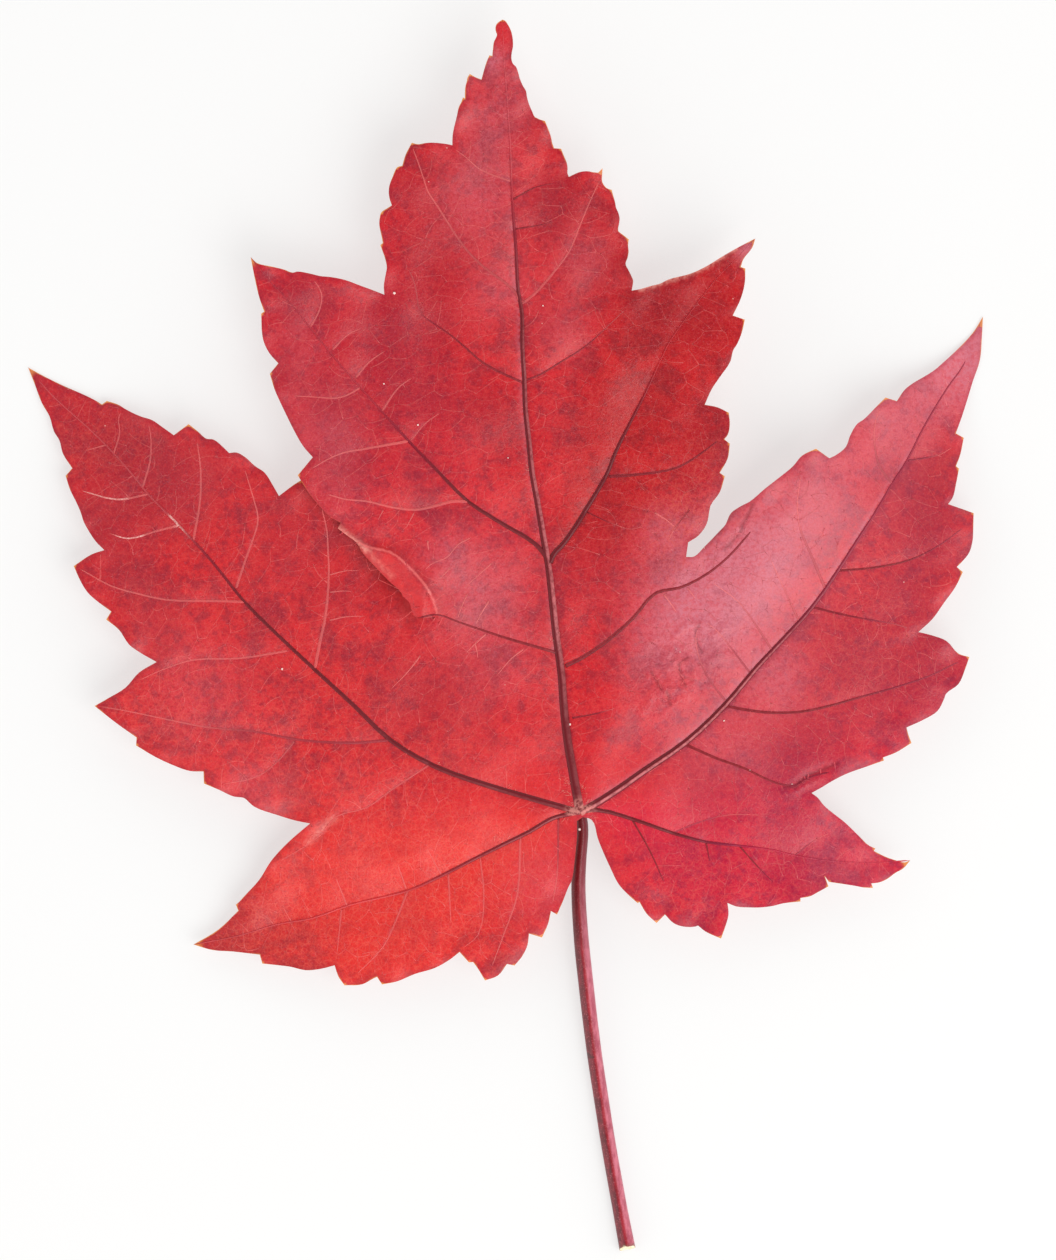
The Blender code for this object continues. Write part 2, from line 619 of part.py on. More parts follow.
def main():
    clear_scene()
    leaf = placed("maple_leaf", blade_mesh(), finish("leaf_red", LEAF_COLOUR, LEAF_ROUGHNESS))
    stalk = placed("stalk_rod", stalk_mesh(), finish("stalk_maroon", STALK_COLOUR, STALK_ROUGHNESS))
    joined(leaf, stalk)
    centre_on_origin(leaf)
    leaf.data.name = "maple_leaf"
    leaf.data.shade_smooth()
    leaf.data.set_sharp_from_angle(angle=0.6)


main()
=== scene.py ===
# %% [markdown]
# # A red maple leaf, lying face up on a white table
#
# A fallen maple leaf is one thing that grew as one piece: a toothed blade a quarter of a
# millimetre thick, a net of veins that holds it open, and the stalk that it hung from.
# Here it is made from the outside in: first the drawing that every part is placed by, then
# the blade, the veins on it, the stalk, and last the finishes and the light.

import bpy
import numpy as np
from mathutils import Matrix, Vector
from mathutils.geometry import delaunay_2d_cdt


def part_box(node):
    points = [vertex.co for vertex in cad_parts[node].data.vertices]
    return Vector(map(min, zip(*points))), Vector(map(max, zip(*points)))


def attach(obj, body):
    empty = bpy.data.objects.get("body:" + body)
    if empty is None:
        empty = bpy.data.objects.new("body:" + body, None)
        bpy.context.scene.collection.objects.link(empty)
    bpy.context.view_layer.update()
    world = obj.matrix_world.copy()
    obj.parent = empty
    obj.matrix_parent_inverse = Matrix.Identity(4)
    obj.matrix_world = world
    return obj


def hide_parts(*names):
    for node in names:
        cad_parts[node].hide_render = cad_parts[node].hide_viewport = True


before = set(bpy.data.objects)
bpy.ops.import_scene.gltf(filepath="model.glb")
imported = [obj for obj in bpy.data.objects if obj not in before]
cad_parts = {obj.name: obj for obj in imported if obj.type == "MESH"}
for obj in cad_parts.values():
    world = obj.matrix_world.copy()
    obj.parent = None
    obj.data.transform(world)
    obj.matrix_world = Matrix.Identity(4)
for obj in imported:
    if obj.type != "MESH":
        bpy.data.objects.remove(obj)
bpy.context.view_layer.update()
leaf_low, leaf_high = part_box("maple_leaf")
print("solid leaf, mm:", [round(1000 * side, 2) for side in leaf_high - leaf_low])

# %% [markdown]
# ## The drawing on squared paper
#
# A leaf has no straight edge to measure from, so it is drawn first. Each place is a square of
# a drawing, x to the right and y down the sheet, as a botanist would plot it. The solid leaf
# says how large a square is: its box reaches from the left tip to the right tip.

# %% Named places of the drawing
HEAD = (580, 812)
BASE_NOTCH = (583, 817)
TIP_BASAL_LEFT = (193, 945)
TIP_LEFT = (27, 367)
TIP_SHOULDER_LEFT = (251, 257.5)
TIP_MIDDLE = (502.5, 21)
TIP_SHOULDER_RIGHT = (755, 239)
TIP_RIGHT = (984, 316)
TIP_BASAL_RIGHT = (910.5, 860.5)
SINUS_BASAL_LEFT = (310, 823.5)
SINUS_LEFT = (432, 617)
SINUS_RIGHT = (686, 557)
SINUS_BASAL_RIGHT = (811.5, 793)
NOTCH_SHOULDER_LEFT = (384.5, 295)
NOTCH_SHOULDER_RIGHT = (631.5, 291)

SQUARE = (leaf_high.x - leaf_low.x) / (TIP_RIGHT[0] - TIP_LEFT[0])
SHEET_CORNER = np.array([leaf_low.x - TIP_LEFT[0] * SQUARE, leaf_high.y + TIP_MIDDLE[1] * SQUARE])
MM = 0.001


def on_table(places):
    """Squares of the drawing as metres on the table."""
    return SHEET_CORNER + np.array(places, float) * (SQUARE, -SQUARE)


print("one square, mm:", round(SQUARE / MM, 4))

# %% [markdown]
# ## Camera, floor and light
#
# The leaf is seen straight from above, so the camera hangs two metres over it with a long
# lens: from there its view is almost parallel, and the height of the blade moves nothing
# sideways. The frame takes in the sheet of the drawing, edge to edge.

# %% Camera
SHEET_WIDTH, SHEET_HEIGHT = 1056, 1260
MEAN_HEIGHT = 5 * MM
CAMERA_HEIGHT = 2.0
SENSOR_HEIGHT = 36

view_data = bpy.data.cameras.new("view")
view_data.sensor_fit = "VERTICAL"
view_data.sensor_height = SENSOR_HEIGHT
view_data.lens = SENSOR_HEIGHT * (CAMERA_HEIGHT - MEAN_HEIGHT) / (SHEET_HEIGHT * SQUARE)
view_data.clip_start = 0.05
view = bpy.data.objects.new("view", view_data)
view.location = (*on_table((SHEET_WIDTH / 2, SHEET_HEIGHT / 2)), CAMERA_HEIGHT)
bpy.context.scene.collection.objects.link(view)
bpy.context.scene.camera = view
bpy.context.scene.view_settings.view_transform = "Standard"
print("lens, mm:", round(view_data.lens, 1))

# %% [markdown]
# The light comes from a broad soft window, high up on the right and a little towards the
# viewer's feet. It slides over the waxy skin wherever the blade tilts to meet it, and leaves
# a pale shadow on the left. The room gives the rest: bright round the walls, dimmer overhead.
# That dim ceiling matters, because a level piece of leaf mirrors it, and a bright one would
# wash the deep red out.

# %% Window and room
WINDOW_SIZE = 0.75
WINDOW_DISTANCE = 1.0
WINDOW_WAY = Vector((0.40, -0.46, 0.79)).normalized()
WINDOW_POWER = 6.2
WALL_LIGHT = (1.55, 1.54, 1.52, 1)
CEILING_LIGHT = (0.24, 0.24, 0.24, 1)


def feed(tree, socket, source):
    """Links the socket to another node's output, or sets it, if the source is a plain value."""
    if isinstance(source, bpy.types.NodeSocket):
        tree.links.new(source, socket)
    else:
        socket.default_value = source


def ease(tree, value, low, high, to_low=0.0, to_high=1.0):
    """A smooth rise from to_low, where value is low, to to_high, where value is high."""
    step = tree.nodes.new("ShaderNodeMapRange")
    step.interpolation_type = "SMOOTHSTEP"
    for socket, source in zip(step.inputs, (value, low, high, to_low, to_high)):
        feed(tree, socket, source)
    return step.outputs[0]


def mixed(tree, share, first, second, way="MIX"):
    """Two colours mixed: the first where share is 0 and the second where it is 1."""
    step = tree.nodes.new("ShaderNodeMix")
    step.data_type = "RGBA"
    step.blend_type = way
    for number, source in ((0, share), (6, first), (7, second)):
        feed(tree, step.inputs[number], source)
    return step.outputs[2]


def light_the_room():
    """A world whose colour goes from the ceiling's overhead to the walls' round the sides."""
    world = bpy.data.worlds.new("room")
    bpy.context.scene.world = world
    world.use_nodes = True
    tree = world.node_tree
    place = tree.nodes.new("ShaderNodeTexCoord")
    parts = tree.nodes.new("ShaderNodeSeparateXYZ")
    tree.links.new(place.outputs["Generated"], parts.inputs[0])
    overhead = ease(tree, parts.outputs["Z"], 0.35, 0.92)
    colour = mixed(tree, overhead, WALL_LIGHT, CEILING_LIGHT)
    tree.links.new(colour, tree.nodes["Background"].inputs["Color"])


light_the_room()
window_data = bpy.data.lights.new("window", "AREA")
window_data.shape = "SQUARE"
window_data.size = WINDOW_SIZE
window_data.energy = WINDOW_POWER
window_data.color = (1.0, 0.985, 0.97)
window = bpy.data.objects.new("window", window_data)
window.location = WINDOW_WAY * WINDOW_DISTANCE
window.rotation_euler = WINDOW_WAY.to_track_quat("Z", "Y").to_euler()
bpy.context.scene.collection.objects.link(window)

# %% [markdown]
# The table is a sheet of white opal glass with a little light of its own, as under a
# specimen that is to be looked at closely, so the shadows on it stay faint.

# %% Table
FLOOR_REACH = 1.5
TABLE_GLOW = 0.60
FLOOR_DROP = 0.0001


def plain_finish(name, colour, roughness):
    """A material of one colour, and its Principled shader."""
    material = bpy.data.materials.new(name)
    material.use_nodes = True
    shader = material.node_tree.nodes["Principled BSDF"]
    shader.inputs["Base Color"].default_value = colour
    shader.inputs["Roughness"].default_value = roughness
    return material, shader


def add_piece(name, spots, faces, material):
    """A smooth mesh object at the origin, with its place in its mesh."""
    mesh = bpy.data.meshes.new(name)
    mesh.from_pydata(np.asarray(spots).tolist(), [], faces)
    mesh.materials.append(material)
    mesh.shade_smooth()
    piece = bpy.data.objects.new(name, mesh)
    bpy.context.scene.collection.objects.link(piece)
    return piece


white, white_shader = plain_finish("white_table", (0.31, 0.31, 0.31, 1), 0.7)
white_shader.inputs["Emission Color"].default_value = (1, 1, 0.995, 1)
white_shader.inputs["Emission Strength"].default_value = TABLE_GLOW
corners = [(x, y, -FLOOR_DROP) for x, y in ((-1, -1), (1, -1), (1, 1), (-1, 1))]
floor_spots = np.array(corners) * (FLOOR_REACH, FLOOR_REACH, 1)
floor = add_piece("table", floor_spots, [(0, 1, 2, 3)], white)

# %% [markdown]
# ## The margin, tooth by tooth
#
# The margin has some sixty sharp teeth with many low steps between them, and no two are
# alike, so there is no formula for them. Each one is read off the drawing: its tip, the notch
# behind it, and a point or two where the edge between them bends. They run clockwise from
# the head of the stalk, lobe by lobe, and a curve through them does the rest.

# %% The margin of the left half
BASAL_LEFT_LOWER = [
    (577, 821), (577, 836), (576, 848), (574.5, 862), (571.5, 881), (568.5, 887), (563, 901), (557, 914.5),
    (551, 911), (548, 924), (542, 937.5), (529, 933.5), (527.5, 945), (522, 956.5), (514.5, 965.5),
    (507, 964), (498, 975.5), (485, 980.5), (477.5, 968), (473, 962), (469, 962.5), (459.5, 952),
    (450, 959.5), (435, 968), (415, 974), (397, 981.5), (382, 984.5), (377, 977), (373.5, 978.5),
    (362, 984.5), (344.5, 985.5), (338.5, 977), (334.5, 965.5), (321, 969), (306, 970.5), (290, 967),
    (277, 965.5), (262, 964), (259.5, 955), (233, 952), (212, 950.5),
]
BASAL_LEFT_UPPER = [
    (218, 930), (238, 911), (235.5, 905), (239, 902), (243.5, 897), (259, 880), (271, 861), (288.5, 842),
]
LEFT_LOWER = [
    (295, 820.5), (277, 815), (254, 806.5), (244, 798), (242, 797.5), (233.5, 796.5), (219.5, 790),
    (204, 783.5), (203.5, 771.5), (190, 771), (175, 766), (155.5, 757), (136, 745.5), (136.5, 737.5),
    (113.5, 721), (94.5, 706), (108.5, 698), (125, 688), (139, 672.5), (156.5, 662), (139, 652),
    (129, 644.5), (119, 630), (106, 619.5), (111, 611.5), (95.5, 600), (87.5, 592.5), (80, 580.5),
    (73.5, 566), (91, 554.5), (104, 550), (95.5, 541.5), (89, 532), (83.5, 522), (80, 511.5), (75, 500.5),
    (69.5, 489.5), (65, 475.5), (71.5, 468), (62, 453), (58.5, 440), (53, 431), (48.5, 416), (41, 403),
    (33.5, 383.5),
]
LEFT_UPPER = [
    (43.5, 376), (63, 385.5), (82.5, 394), (95.5, 400.5), (101, 404), (106, 400.5), (117, 404),
    (124.5, 408.5), (132, 412.5), (140, 416), (152, 420), (161.5, 426.5), (173.5, 435), (188.5, 424),
    (198.5, 432), (206, 438.5), (213.5, 439.5), (223.5, 447.5), (229, 453), (236.5, 452.5), (245, 457),
    (255, 466), (264.5, 472.5), (273, 485.5), (279, 496), (300, 481),
]
LEFT_UNDER_MIDDLE = [
    (318, 474), (338, 494), (360, 516), (386, 538), (410, 560), (426, 580), (433, 600),
]

# %% The margin of the middle lobe and its shoulders
MIDDLE_OVER_LEFT = [
    (423, 618), (412, 614.5), (405, 604), (401.5, 593), (390.5, 582.5), (376.5, 568), (362, 552),
    (357, 543), (348, 536), (338, 528.5), (341, 523), (332, 518), (321, 507.5), (310.5, 495), (298, 475.5),
]
SHOULDER_LEFT_LOWER = [
    (313, 457.5), (303.5, 446.5), (295, 432), (285.5, 413), (280.5, 402.5), (275, 390), (270, 374),
    (278.5, 363.5), (270, 354), (264.5, 343.5), (262.5, 335), (261.5, 314), (264.5, 312), (259.5, 297.5),
    (255.5, 280.5),
]
SHOULDER_LEFT_UPPER = [
    (257.5, 263.5), (272, 267), (284.5, 270), (293, 273), (297.5, 272), (310, 274), (320.5, 276.5),
    (331, 277.5), (345.5, 280.5), (360.5, 286), (373, 290.5),
]
MIDDLE_LEFT = [
    (384, 286), (386, 274), (387, 268), (385, 258), (382.5, 251), (380.5, 245.5), (383, 243.5),
    (382, 238), (380.5, 231), (379.5, 225), (380, 218), (381.5, 213), (388, 208.5), (392, 206),
    (390, 200), (389, 194), (389.5, 187), (391, 182), (392.5, 178.5), (395, 172), (397.5, 168),
    (402.5, 166.5), (404, 161), (406, 155), (409, 149), (412, 143.5), (418, 145), (425, 144),
    (432, 143.5), (440, 144), (448, 145), (452.5, 146), (452.5, 140), (453, 134), (455, 125),
    (457, 117), (459, 108), (461.5, 103), (463, 98.5), (465, 99.5), (465, 95), (465.5, 88), (467, 82),
    (467.5, 79), (470, 75), (475, 78), (481.5, 80.5), (483, 75), (485, 68), (487, 62), (489.5, 56.5),
    (492.3, 57), (493, 50), (494, 43), (496, 39), (497, 36), (496, 33), (495.5, 29), (497, 25),
]
MIDDLE_RIGHT = [
    (505, 22), (508, 26), (511, 32), (512.5, 38), (513, 43), (513, 48), (512, 53), (511.5, 60),
    (513, 65), (516, 68), (518, 73), (520, 80), (523, 87), (526, 92), (527, 98), (529, 105), (532, 112),
    (535, 118), (537, 119), (540, 120.5), (545, 122), (547, 127), (549, 132), (551, 138), (552, 143),
    (554, 149), (561, 149.5), (564, 157), (566.5, 163), (567.5, 168), (567.5, 174), (568.8, 177.5),
    (573, 175.5), (579, 173), (587, 172), (593, 173), (598, 173.5), (602.5, 169), (602, 176),
    (602, 182), (604, 186), (607, 189), (611.5, 190.5), (613, 196), (615, 203), (616, 208.5),
    (618, 213), (619.5, 219), (619, 224), (618, 230), (618.3, 232), (621, 234), (625, 237),
    (628.6, 240), (628, 246), (628.5, 252), (627.5, 258), (625.5, 264.5), (628, 270), (631, 276),
    (633, 281), (632.5, 286),
]
SHOULDER_RIGHT_UPPER = [
    (640, 289.5), (650, 286.5), (660, 284), (668, 280), (690.5, 274), (706.5, 266.5), (719.5, 258.5),
    (735, 249.5),
]
SHOULDER_RIGHT_LOWER = [
    (752, 248), (743, 260), (740.5, 267.5), (745, 269), (744.5, 283.5), (740.5, 299), (732.5, 316),
    (744.5, 320), (741.5, 333), (736.5, 345), (733, 350.5), (730, 362), (719.5, 377.5), (711.5, 389.5),
    (704.5, 405), (717, 407.5), (728.5, 413), (729.5, 424.5), (727.5, 435), (724, 439.5), (729.5, 444),
    (727.5, 458.5), (719.5, 473), (724.5, 476.5), (719.5, 492.5), (710.5, 505.5), (709.5, 509.5),
    (706.5, 524), (698.5, 535.5), (688, 542.5),
]

# %% The margin of the right lobes
RIGHT_UPPER = [
    (694, 556.5), (703.5, 547.5), (720, 530.5), (725, 525), (730.5, 513.5), (742, 505.5), (749, 502),
    (765, 488.5), (778.5, 478), (792.5, 466.5), (801.5, 456), (815.5, 449), (829, 458.5), (836, 455),
    (845.5, 447), (850, 435.5), (857, 424), (863.5, 419.5), (875, 408), (885.5, 397.5), (897, 401),
    (905, 389.5), (914, 382.5), (923.5, 377), (936, 369), (944, 362), (955.5, 351.5), (974, 332),
]
RIGHT_LOWER = [
    (983, 336.5), (981, 359.5), (974, 380.5), (968, 400), (962.5, 417), (956.5, 433), (964.5, 437.5),
    (961, 454), (956.5, 466), (959.5, 468.5), (956.5, 483.5), (953, 497.5), (948.5, 504), (960, 508),
    (974, 513), (973.5, 529.5), (973, 540), (969.5, 552.5), (962, 562), (957, 567), (963, 572),
    (955.5, 587), (944, 603), (932.5, 619), (918.5, 632), (932.5, 635.5), (946.5, 641), (958.5, 653.5),
    (969.5, 657), (965.5, 668.5), (958.5, 684), (946, 694), (944.5, 698), (937.5, 711), (925, 719),
    (906.5, 727.5), (908, 733.5), (911.5, 743), (896, 752.5), (883, 757.5), (884, 760.5), (868.5, 766),
    (846, 774), (829.5, 782.5), (824, 786),
]
BASAL_RIGHT_UPPER = [
    (817.5, 797.5), (824, 805.5), (833.5, 813.5), (845, 822.5), (858.5, 835.5), (869, 845.5),
    (875.5, 848.5), (874, 851), (886, 857), (898, 861), (904.5, 862.5),
]
BASAL_RIGHT_LOWER = [
    (903.5, 868.5), (895.5, 873), (887.5, 879), (879.5, 882.5), (871.5, 883.5), (873, 888),
    (863.5, 887.5), (855.5, 886), (842.5, 884), (829, 882), (825, 876.5), (828.5, 886.5), (817.5, 892.5),
    (809.5, 896.5), (800.5, 898), (800.5, 901.5), (783, 903.5), (773, 906), (760, 907.5), (750.5, 907.5),
    (736.5, 906.5), (727.5, 903), (728.5, 914.5), (725, 927.5), (721, 938.5), (705.5, 931.5),
    (698, 925.5), (695.5, 926.5), (683, 926.5), (673.5, 923), (665, 914.5), (656.5, 923), (646.5, 913.5),
    (639.5, 902), (637.5, 903), (627, 893.5), (618.5, 884), (610, 867), (603, 851.5), (597.5, 837.5),
    (594, 823.5), (591, 819.5),
]

# %% [markdown]
# The left sinus is deep, and there the middle lobe lies over the left one. A sheet that
# overlaps itself can't be cut out of one flat outline, so the leaf is cut as two halves, with
# a seam from that sinus down to the stalk, and the halves are sewn together along it.

# %% The seam and the two halves
SEAM = [(454, 639), (480, 664), (506, 692), (530, 722), (551, 754), (568, 786), HEAD]
MARGIN_LEFT = [
    BASE_NOTCH, *BASAL_LEFT_LOWER, TIP_BASAL_LEFT, *BASAL_LEFT_UPPER, SINUS_BASAL_LEFT, *LEFT_LOWER,
    TIP_LEFT, *LEFT_UPPER, *LEFT_UNDER_MIDDLE, SINUS_LEFT,
]
MARGIN_REST = [
    SINUS_LEFT, *MIDDLE_OVER_LEFT, *SHOULDER_LEFT_LOWER, TIP_SHOULDER_LEFT, *SHOULDER_LEFT_UPPER,
    NOTCH_SHOULDER_LEFT, *MIDDLE_LEFT, TIP_MIDDLE, *MIDDLE_RIGHT, NOTCH_SHOULDER_RIGHT,
    *SHOULDER_RIGHT_UPPER, TIP_SHOULDER_RIGHT, *SHOULDER_RIGHT_LOWER, SINUS_RIGHT, *RIGHT_UPPER,
    TIP_RIGHT, *RIGHT_LOWER, SINUS_BASAL_RIGHT, *BASAL_RIGHT_UPPER, TIP_BASAL_RIGHT,
    *BASAL_RIGHT_LOWER, BASE_NOTCH,
]
CORNER = np.radians(42)  # the line has a corner where it turns by more than this
MARGIN_SUBSTEPS = 4


def unit(arrows):
    """Arrows of length 1 in the same directions."""
    return arrows / np.maximum(np.linalg.norm(arrows, axis=-1, keepdims=True), 1e-12)


def curve_through(points, substeps, corner=np.pi):
    """A curve through the points of an open line.

    On each span it is a cubic. Its slope at a point is the direction halfway between the
    spans before and after, times the span's length. Where the line turns by more than
    corner, each span keeps its own direction instead, so that teeth stay sharp.
    """
    spans = np.diff(points, axis=0)
    lengths = np.linalg.norm(spans, axis=1, keepdims=True)
    ways = unit(spans)
    arriving, leaving = np.vstack([ways[:1], ways]), np.vstack([ways, ways[-1:]])
    smooth = ((arriving * leaving).sum(1) > np.cos(corner))[:, None]
    between = unit(arriving + leaving)
    slope_out = np.where(smooth[:-1], between[:-1], ways) * lengths
    slope_in = np.where(smooth[1:], between[1:], ways) * lengths
    t = (np.arange(substeps) / substeps)[:, None, None]
    curve = (
        (2 * t**3 - 3 * t**2 + 1) * points[:-1] + (3 * t**2 - 2 * t**3) * points[1:]
        + (t**3 - 2 * t**2 + t) * slope_out + (t**3 - t**2) * slope_in
    )
    return np.vstack([curve.transpose(1, 0, 2).reshape(-1, 2), points[-1:]])


margin_left = curve_through(on_table(MARGIN_LEFT), MARGIN_SUBSTEPS, CORNER)
margin_rest = curve_through(on_table(MARGIN_REST), MARGIN_SUBSTEPS, CORNER)
seam = curve_through(on_table([SINUS_LEFT, *SEAM, BASE_NOTCH]), 8)
outline_left = np.vstack([margin_left[:-1], seam[:-1]])[::-1]
outline_rest = np.vstack([margin_rest[:-1], seam[:0:-1]])[::-1]
print("margin:", len(margin_left) + len(margin_rest), "points")

# %% [markdown]
# ## The veins
#
# Five main veins fan out from the head of the stalk, one to each lobe, and two more leave the
# midrib for the shoulders of the middle lobe. Side veins branch from them and run to the
# teeth. They are drawn like the margin, as a few points each with a curve through them.

# %% Main veins
MIDRIB = [
    HEAD, (573.4, 775), (567.6, 740), (563.8, 706.5), (561.6, 676), (558.6, 653), (555.4, 630),
    (552.2, 599.5), (548.8, 569), (545.4, 549), (541, 523), (537, 500), (532, 472), (528.8, 440.5),
    (525.4, 409), (524.3, 377.5), (522.4, 348), (522, 314), (518.2, 291), (516, 251), (512.2, 200),
    (510.3, 150), (508.5, 120), (506.3, 90), (504, 60), TIP_MIDDLE,
]
LEFT_MAIN = [
    HEAD, (570, 809.5), (531.5, 798.4), (487.5, 785.4), (434.3, 766.2), (390.5, 740.3), (352.7, 704.5),
    (315, 670), (277, 634.5), (243.5, 601), (213, 563), (192.5, 540), (165, 511.5), (147.5, 494),
    (130, 472.5), (113, 453), (86.5, 426.5), (67, 409.5), (47.5, 391), TIP_LEFT,
]
RIGHT_MAIN = [
    HEAD, (590, 807), (616.5, 790.5), (644.7, 770.6), (686.3, 741.8), (725.3, 704.8), (756.2, 668.2),
    (784.5, 638), (812.5, 607), (840.5, 567), (857, 541), (875, 513.5), (891, 486), (907.5, 460.5),
    (923.5, 428.5), (948.5, 387), (964.5, 364.5), TIP_RIGHT,
]
BASAL_LEFT_MAIN = [
    HEAD, (570, 814), (552.5, 818.5), (529, 832), (502.5, 845), (473.5, 859.5), (444, 874.5),
    (409, 890.5), (379.5, 898), (350, 905), (312, 918.5), (277, 924.5), (238.5, 936), TIP_BASAL_LEFT,
]
BASAL_RIGHT_MAIN = [
    HEAD, (596.5, 810), (636, 820.3), (672, 832.8), (706, 842), (739.5, 845.8), (773.5, 850.3),
    (795.5, 855.7), (829.5, 861), (870, 863), TIP_BASAL_RIGHT,
]
SHOULDER_LEFT_MAIN = [
    (550, 570), (546, 557), (534, 543), (503.5, 524.5), (468, 501.5), (438.5, 472), (409, 441.5),
    (381.5, 411), (358.5, 385.5), (335, 358.5), (311, 329), (289, 301.5), (270, 281.5),
    TIP_SHOULDER_LEFT,
]
SHOULDER_RIGHT_MAIN = [
    (550, 563), (554, 554), (562.5, 545), (575, 527.5), (587, 508), (607, 474), (615, 453.5),
    (630.5, 422), (646.5, 390.5), (659.5, 362), (668.5, 343.5), (690.5, 312), (717, 278), (743, 252),
    TIP_SHOULDER_RIGHT,
]

# %% [markdown]
# Side veins differ more than main ones. Some are stout and dark, others pale and hair-thin,
# so each is noted as its width in millimetres, how dark it is from 0 to 1, and its points.

# %% Side veins of the middle lobe and its shoulders
SIDE_VEINS_MIDDLE = [
    (0.34, 0.75, [(522.5, 382.5), (501.5, 373), (482.5, 362.5), (468, 350), (449, 334), (432, 322.5),
          (421.5, 314), (415, 284.5), (409, 270)]),
    (0.26, 0.75, [(525.5, 380.5), (539.5, 375), (560, 362.5), (586, 346), (612, 322.5), (625.5, 309.5)]),
    (0.34, 0.25, [(519, 300.5), (514.5, 291.5), (482.5, 266.5), (464, 247), (438.5, 208), (428, 192),
          (424, 180), (420, 168), (416, 157), (413, 149)]),
    (0.34, 0.15, [(522.5, 304), (535, 294), (553.5, 273), (569.5, 251.5), (580, 226), (590, 202),
          (599.5, 181.5)]),
    (0.22, 0.12, [(511, 182), (480, 170), (466, 158), (455, 150)]),
    (0.24, 0.85, [(513, 200), (535, 188), (553.5, 184)]),
    (0.24, 0.80, [(515.5, 229.5), (537.5, 226), (553.5, 222.5)]),
    (0.44, 1.00, [(558, 653), (530, 645), (503, 637), (483.5, 630.5), (458.5, 622), (436.5, 614.5),
          (419, 618)]),
    (0.56, 1.00, [(565.5, 666), (582.5, 657.5), (607.5, 640.5), (633, 618), (655.5, 593), (680.5, 587.5),
          (706, 574.5), (728.5, 556.5), (751, 531)]),
    (0.26, 0.70, [(572.5, 718), (596.5, 713.5), (616, 708)]),
    (0.42, 0.10, [(468, 501.5), (453, 501.5), (432, 507), (415, 510), (390, 507), (367, 501.5),
          (345.5, 499.5), (328, 494.5)]),
    (0.36, 0.05, [(408, 441.5), (385.5, 445.5), (360.5, 450), (343.5, 453), (324.5, 461.5), (312, 469)]),
    (0.26, 0.05, [(360.5, 388), (346, 396), (335, 398.5), (318.5, 397.5), (293, 396)]),
    (0.26, 0.15, [(411, 440.5), (425.5, 423.5), (440.5, 413)]),
    (0.30, 0.10, [(382.5, 411), (398.5, 388), (413, 377.5)]),
    (0.32, 0.10, [(356.5, 377.5), (369, 362.5), (385.5, 351)]),
    (0.28, 0.10, [(333, 350), (348, 335), (360.5, 329)]),
    (0.26, 0.10, [(311, 327), (320.5, 308), (321.5, 293), (314, 280.5)]),
    (0.42, 0.95, [(609.5, 476.5), (643.5, 474), (677.5, 467.5), (701, 453.5), (718, 440.5)]),
    (0.20, 0.50, [(587, 512), (607, 521.5), (627, 529)]),
]

# %% Side veins of the left lobes
SIDE_VEINS_LEFT = [
    (0.34, 0.10, [(243.5, 602), (213, 601), (167, 600), (136.5, 593.5), (111, 586), (80, 569)]),
    (0.34, 0.35, [(389, 740), (353.5, 743), (300, 740), (254, 731.5), (208, 727.5), (169.5, 720),
          (126.5, 711), (100, 706.5)]),
    (0.30, 0.10, [(287, 651), (238.5, 658.5), (192.5, 660), (162, 670), (140, 680)]),
    (0.30, 0.00, [(178, 525.5), (156, 531), (128, 538.5), (108.5, 533)]),
    (0.28, 0.00, [(147.5, 494), (117, 499.5), (81, 490.5)]),
    (0.22, 0.00, [(104, 445), (84.5, 450.5)]),
    (0.24, 0.20, [(294.5, 741.5), (277, 762), (256.5, 777), (223.5, 784)]),
    (0.26, 0.15, [(430, 764.5), (391.5, 790), (366, 808), (335.5, 817), (320, 836), (279.5, 861.5)]),
    (0.40, 0.10, [(315, 668), (320, 642), (325.5, 616.5), (329, 573), (328, 548), (327, 531), (322, 508)]),
    (0.32, 0.10, [(236, 588), (246, 558), (252.5, 540), (258, 520), (251.5, 492), (245, 470)]),
    (0.34, 0.10, [(193, 540), (199.5, 502.5), (200.5, 470), (197, 441)]),
    (0.28, 0.10, [(142, 487), (149.5, 461.5), (150.5, 437.5), (148, 423)]),
    (0.24, 0.10, [(113, 453), (119, 433), (118, 417), (121, 411)]),
    (0.30, 0.10, [(520.5, 838), (517.5, 895), (505.5, 930), (492, 966)]),
    (0.24, 0.10, [(448.5, 874), (451, 924)]),
    (0.30, 0.10, [(407.5, 892), (397, 918.5), (382.5, 948), (357, 974)]),
    (0.24, 0.10, [(341.5, 909.5), (337, 953.5)]),
    (0.26, 0.30, [(558.5, 819), (557, 877.5), (552.5, 903)]),
    (0.22, 0.10, [(441, 874.5), (426.5, 848)]),
    (0.22, 0.10, [(406, 889), (397, 862.5)]),
    (0.22, 0.10, [(347, 906.5), (335.5, 877.5)]),
    (0.22, 0.10, [(480, 856), (484, 900), (478, 935), (463, 948)]),
]

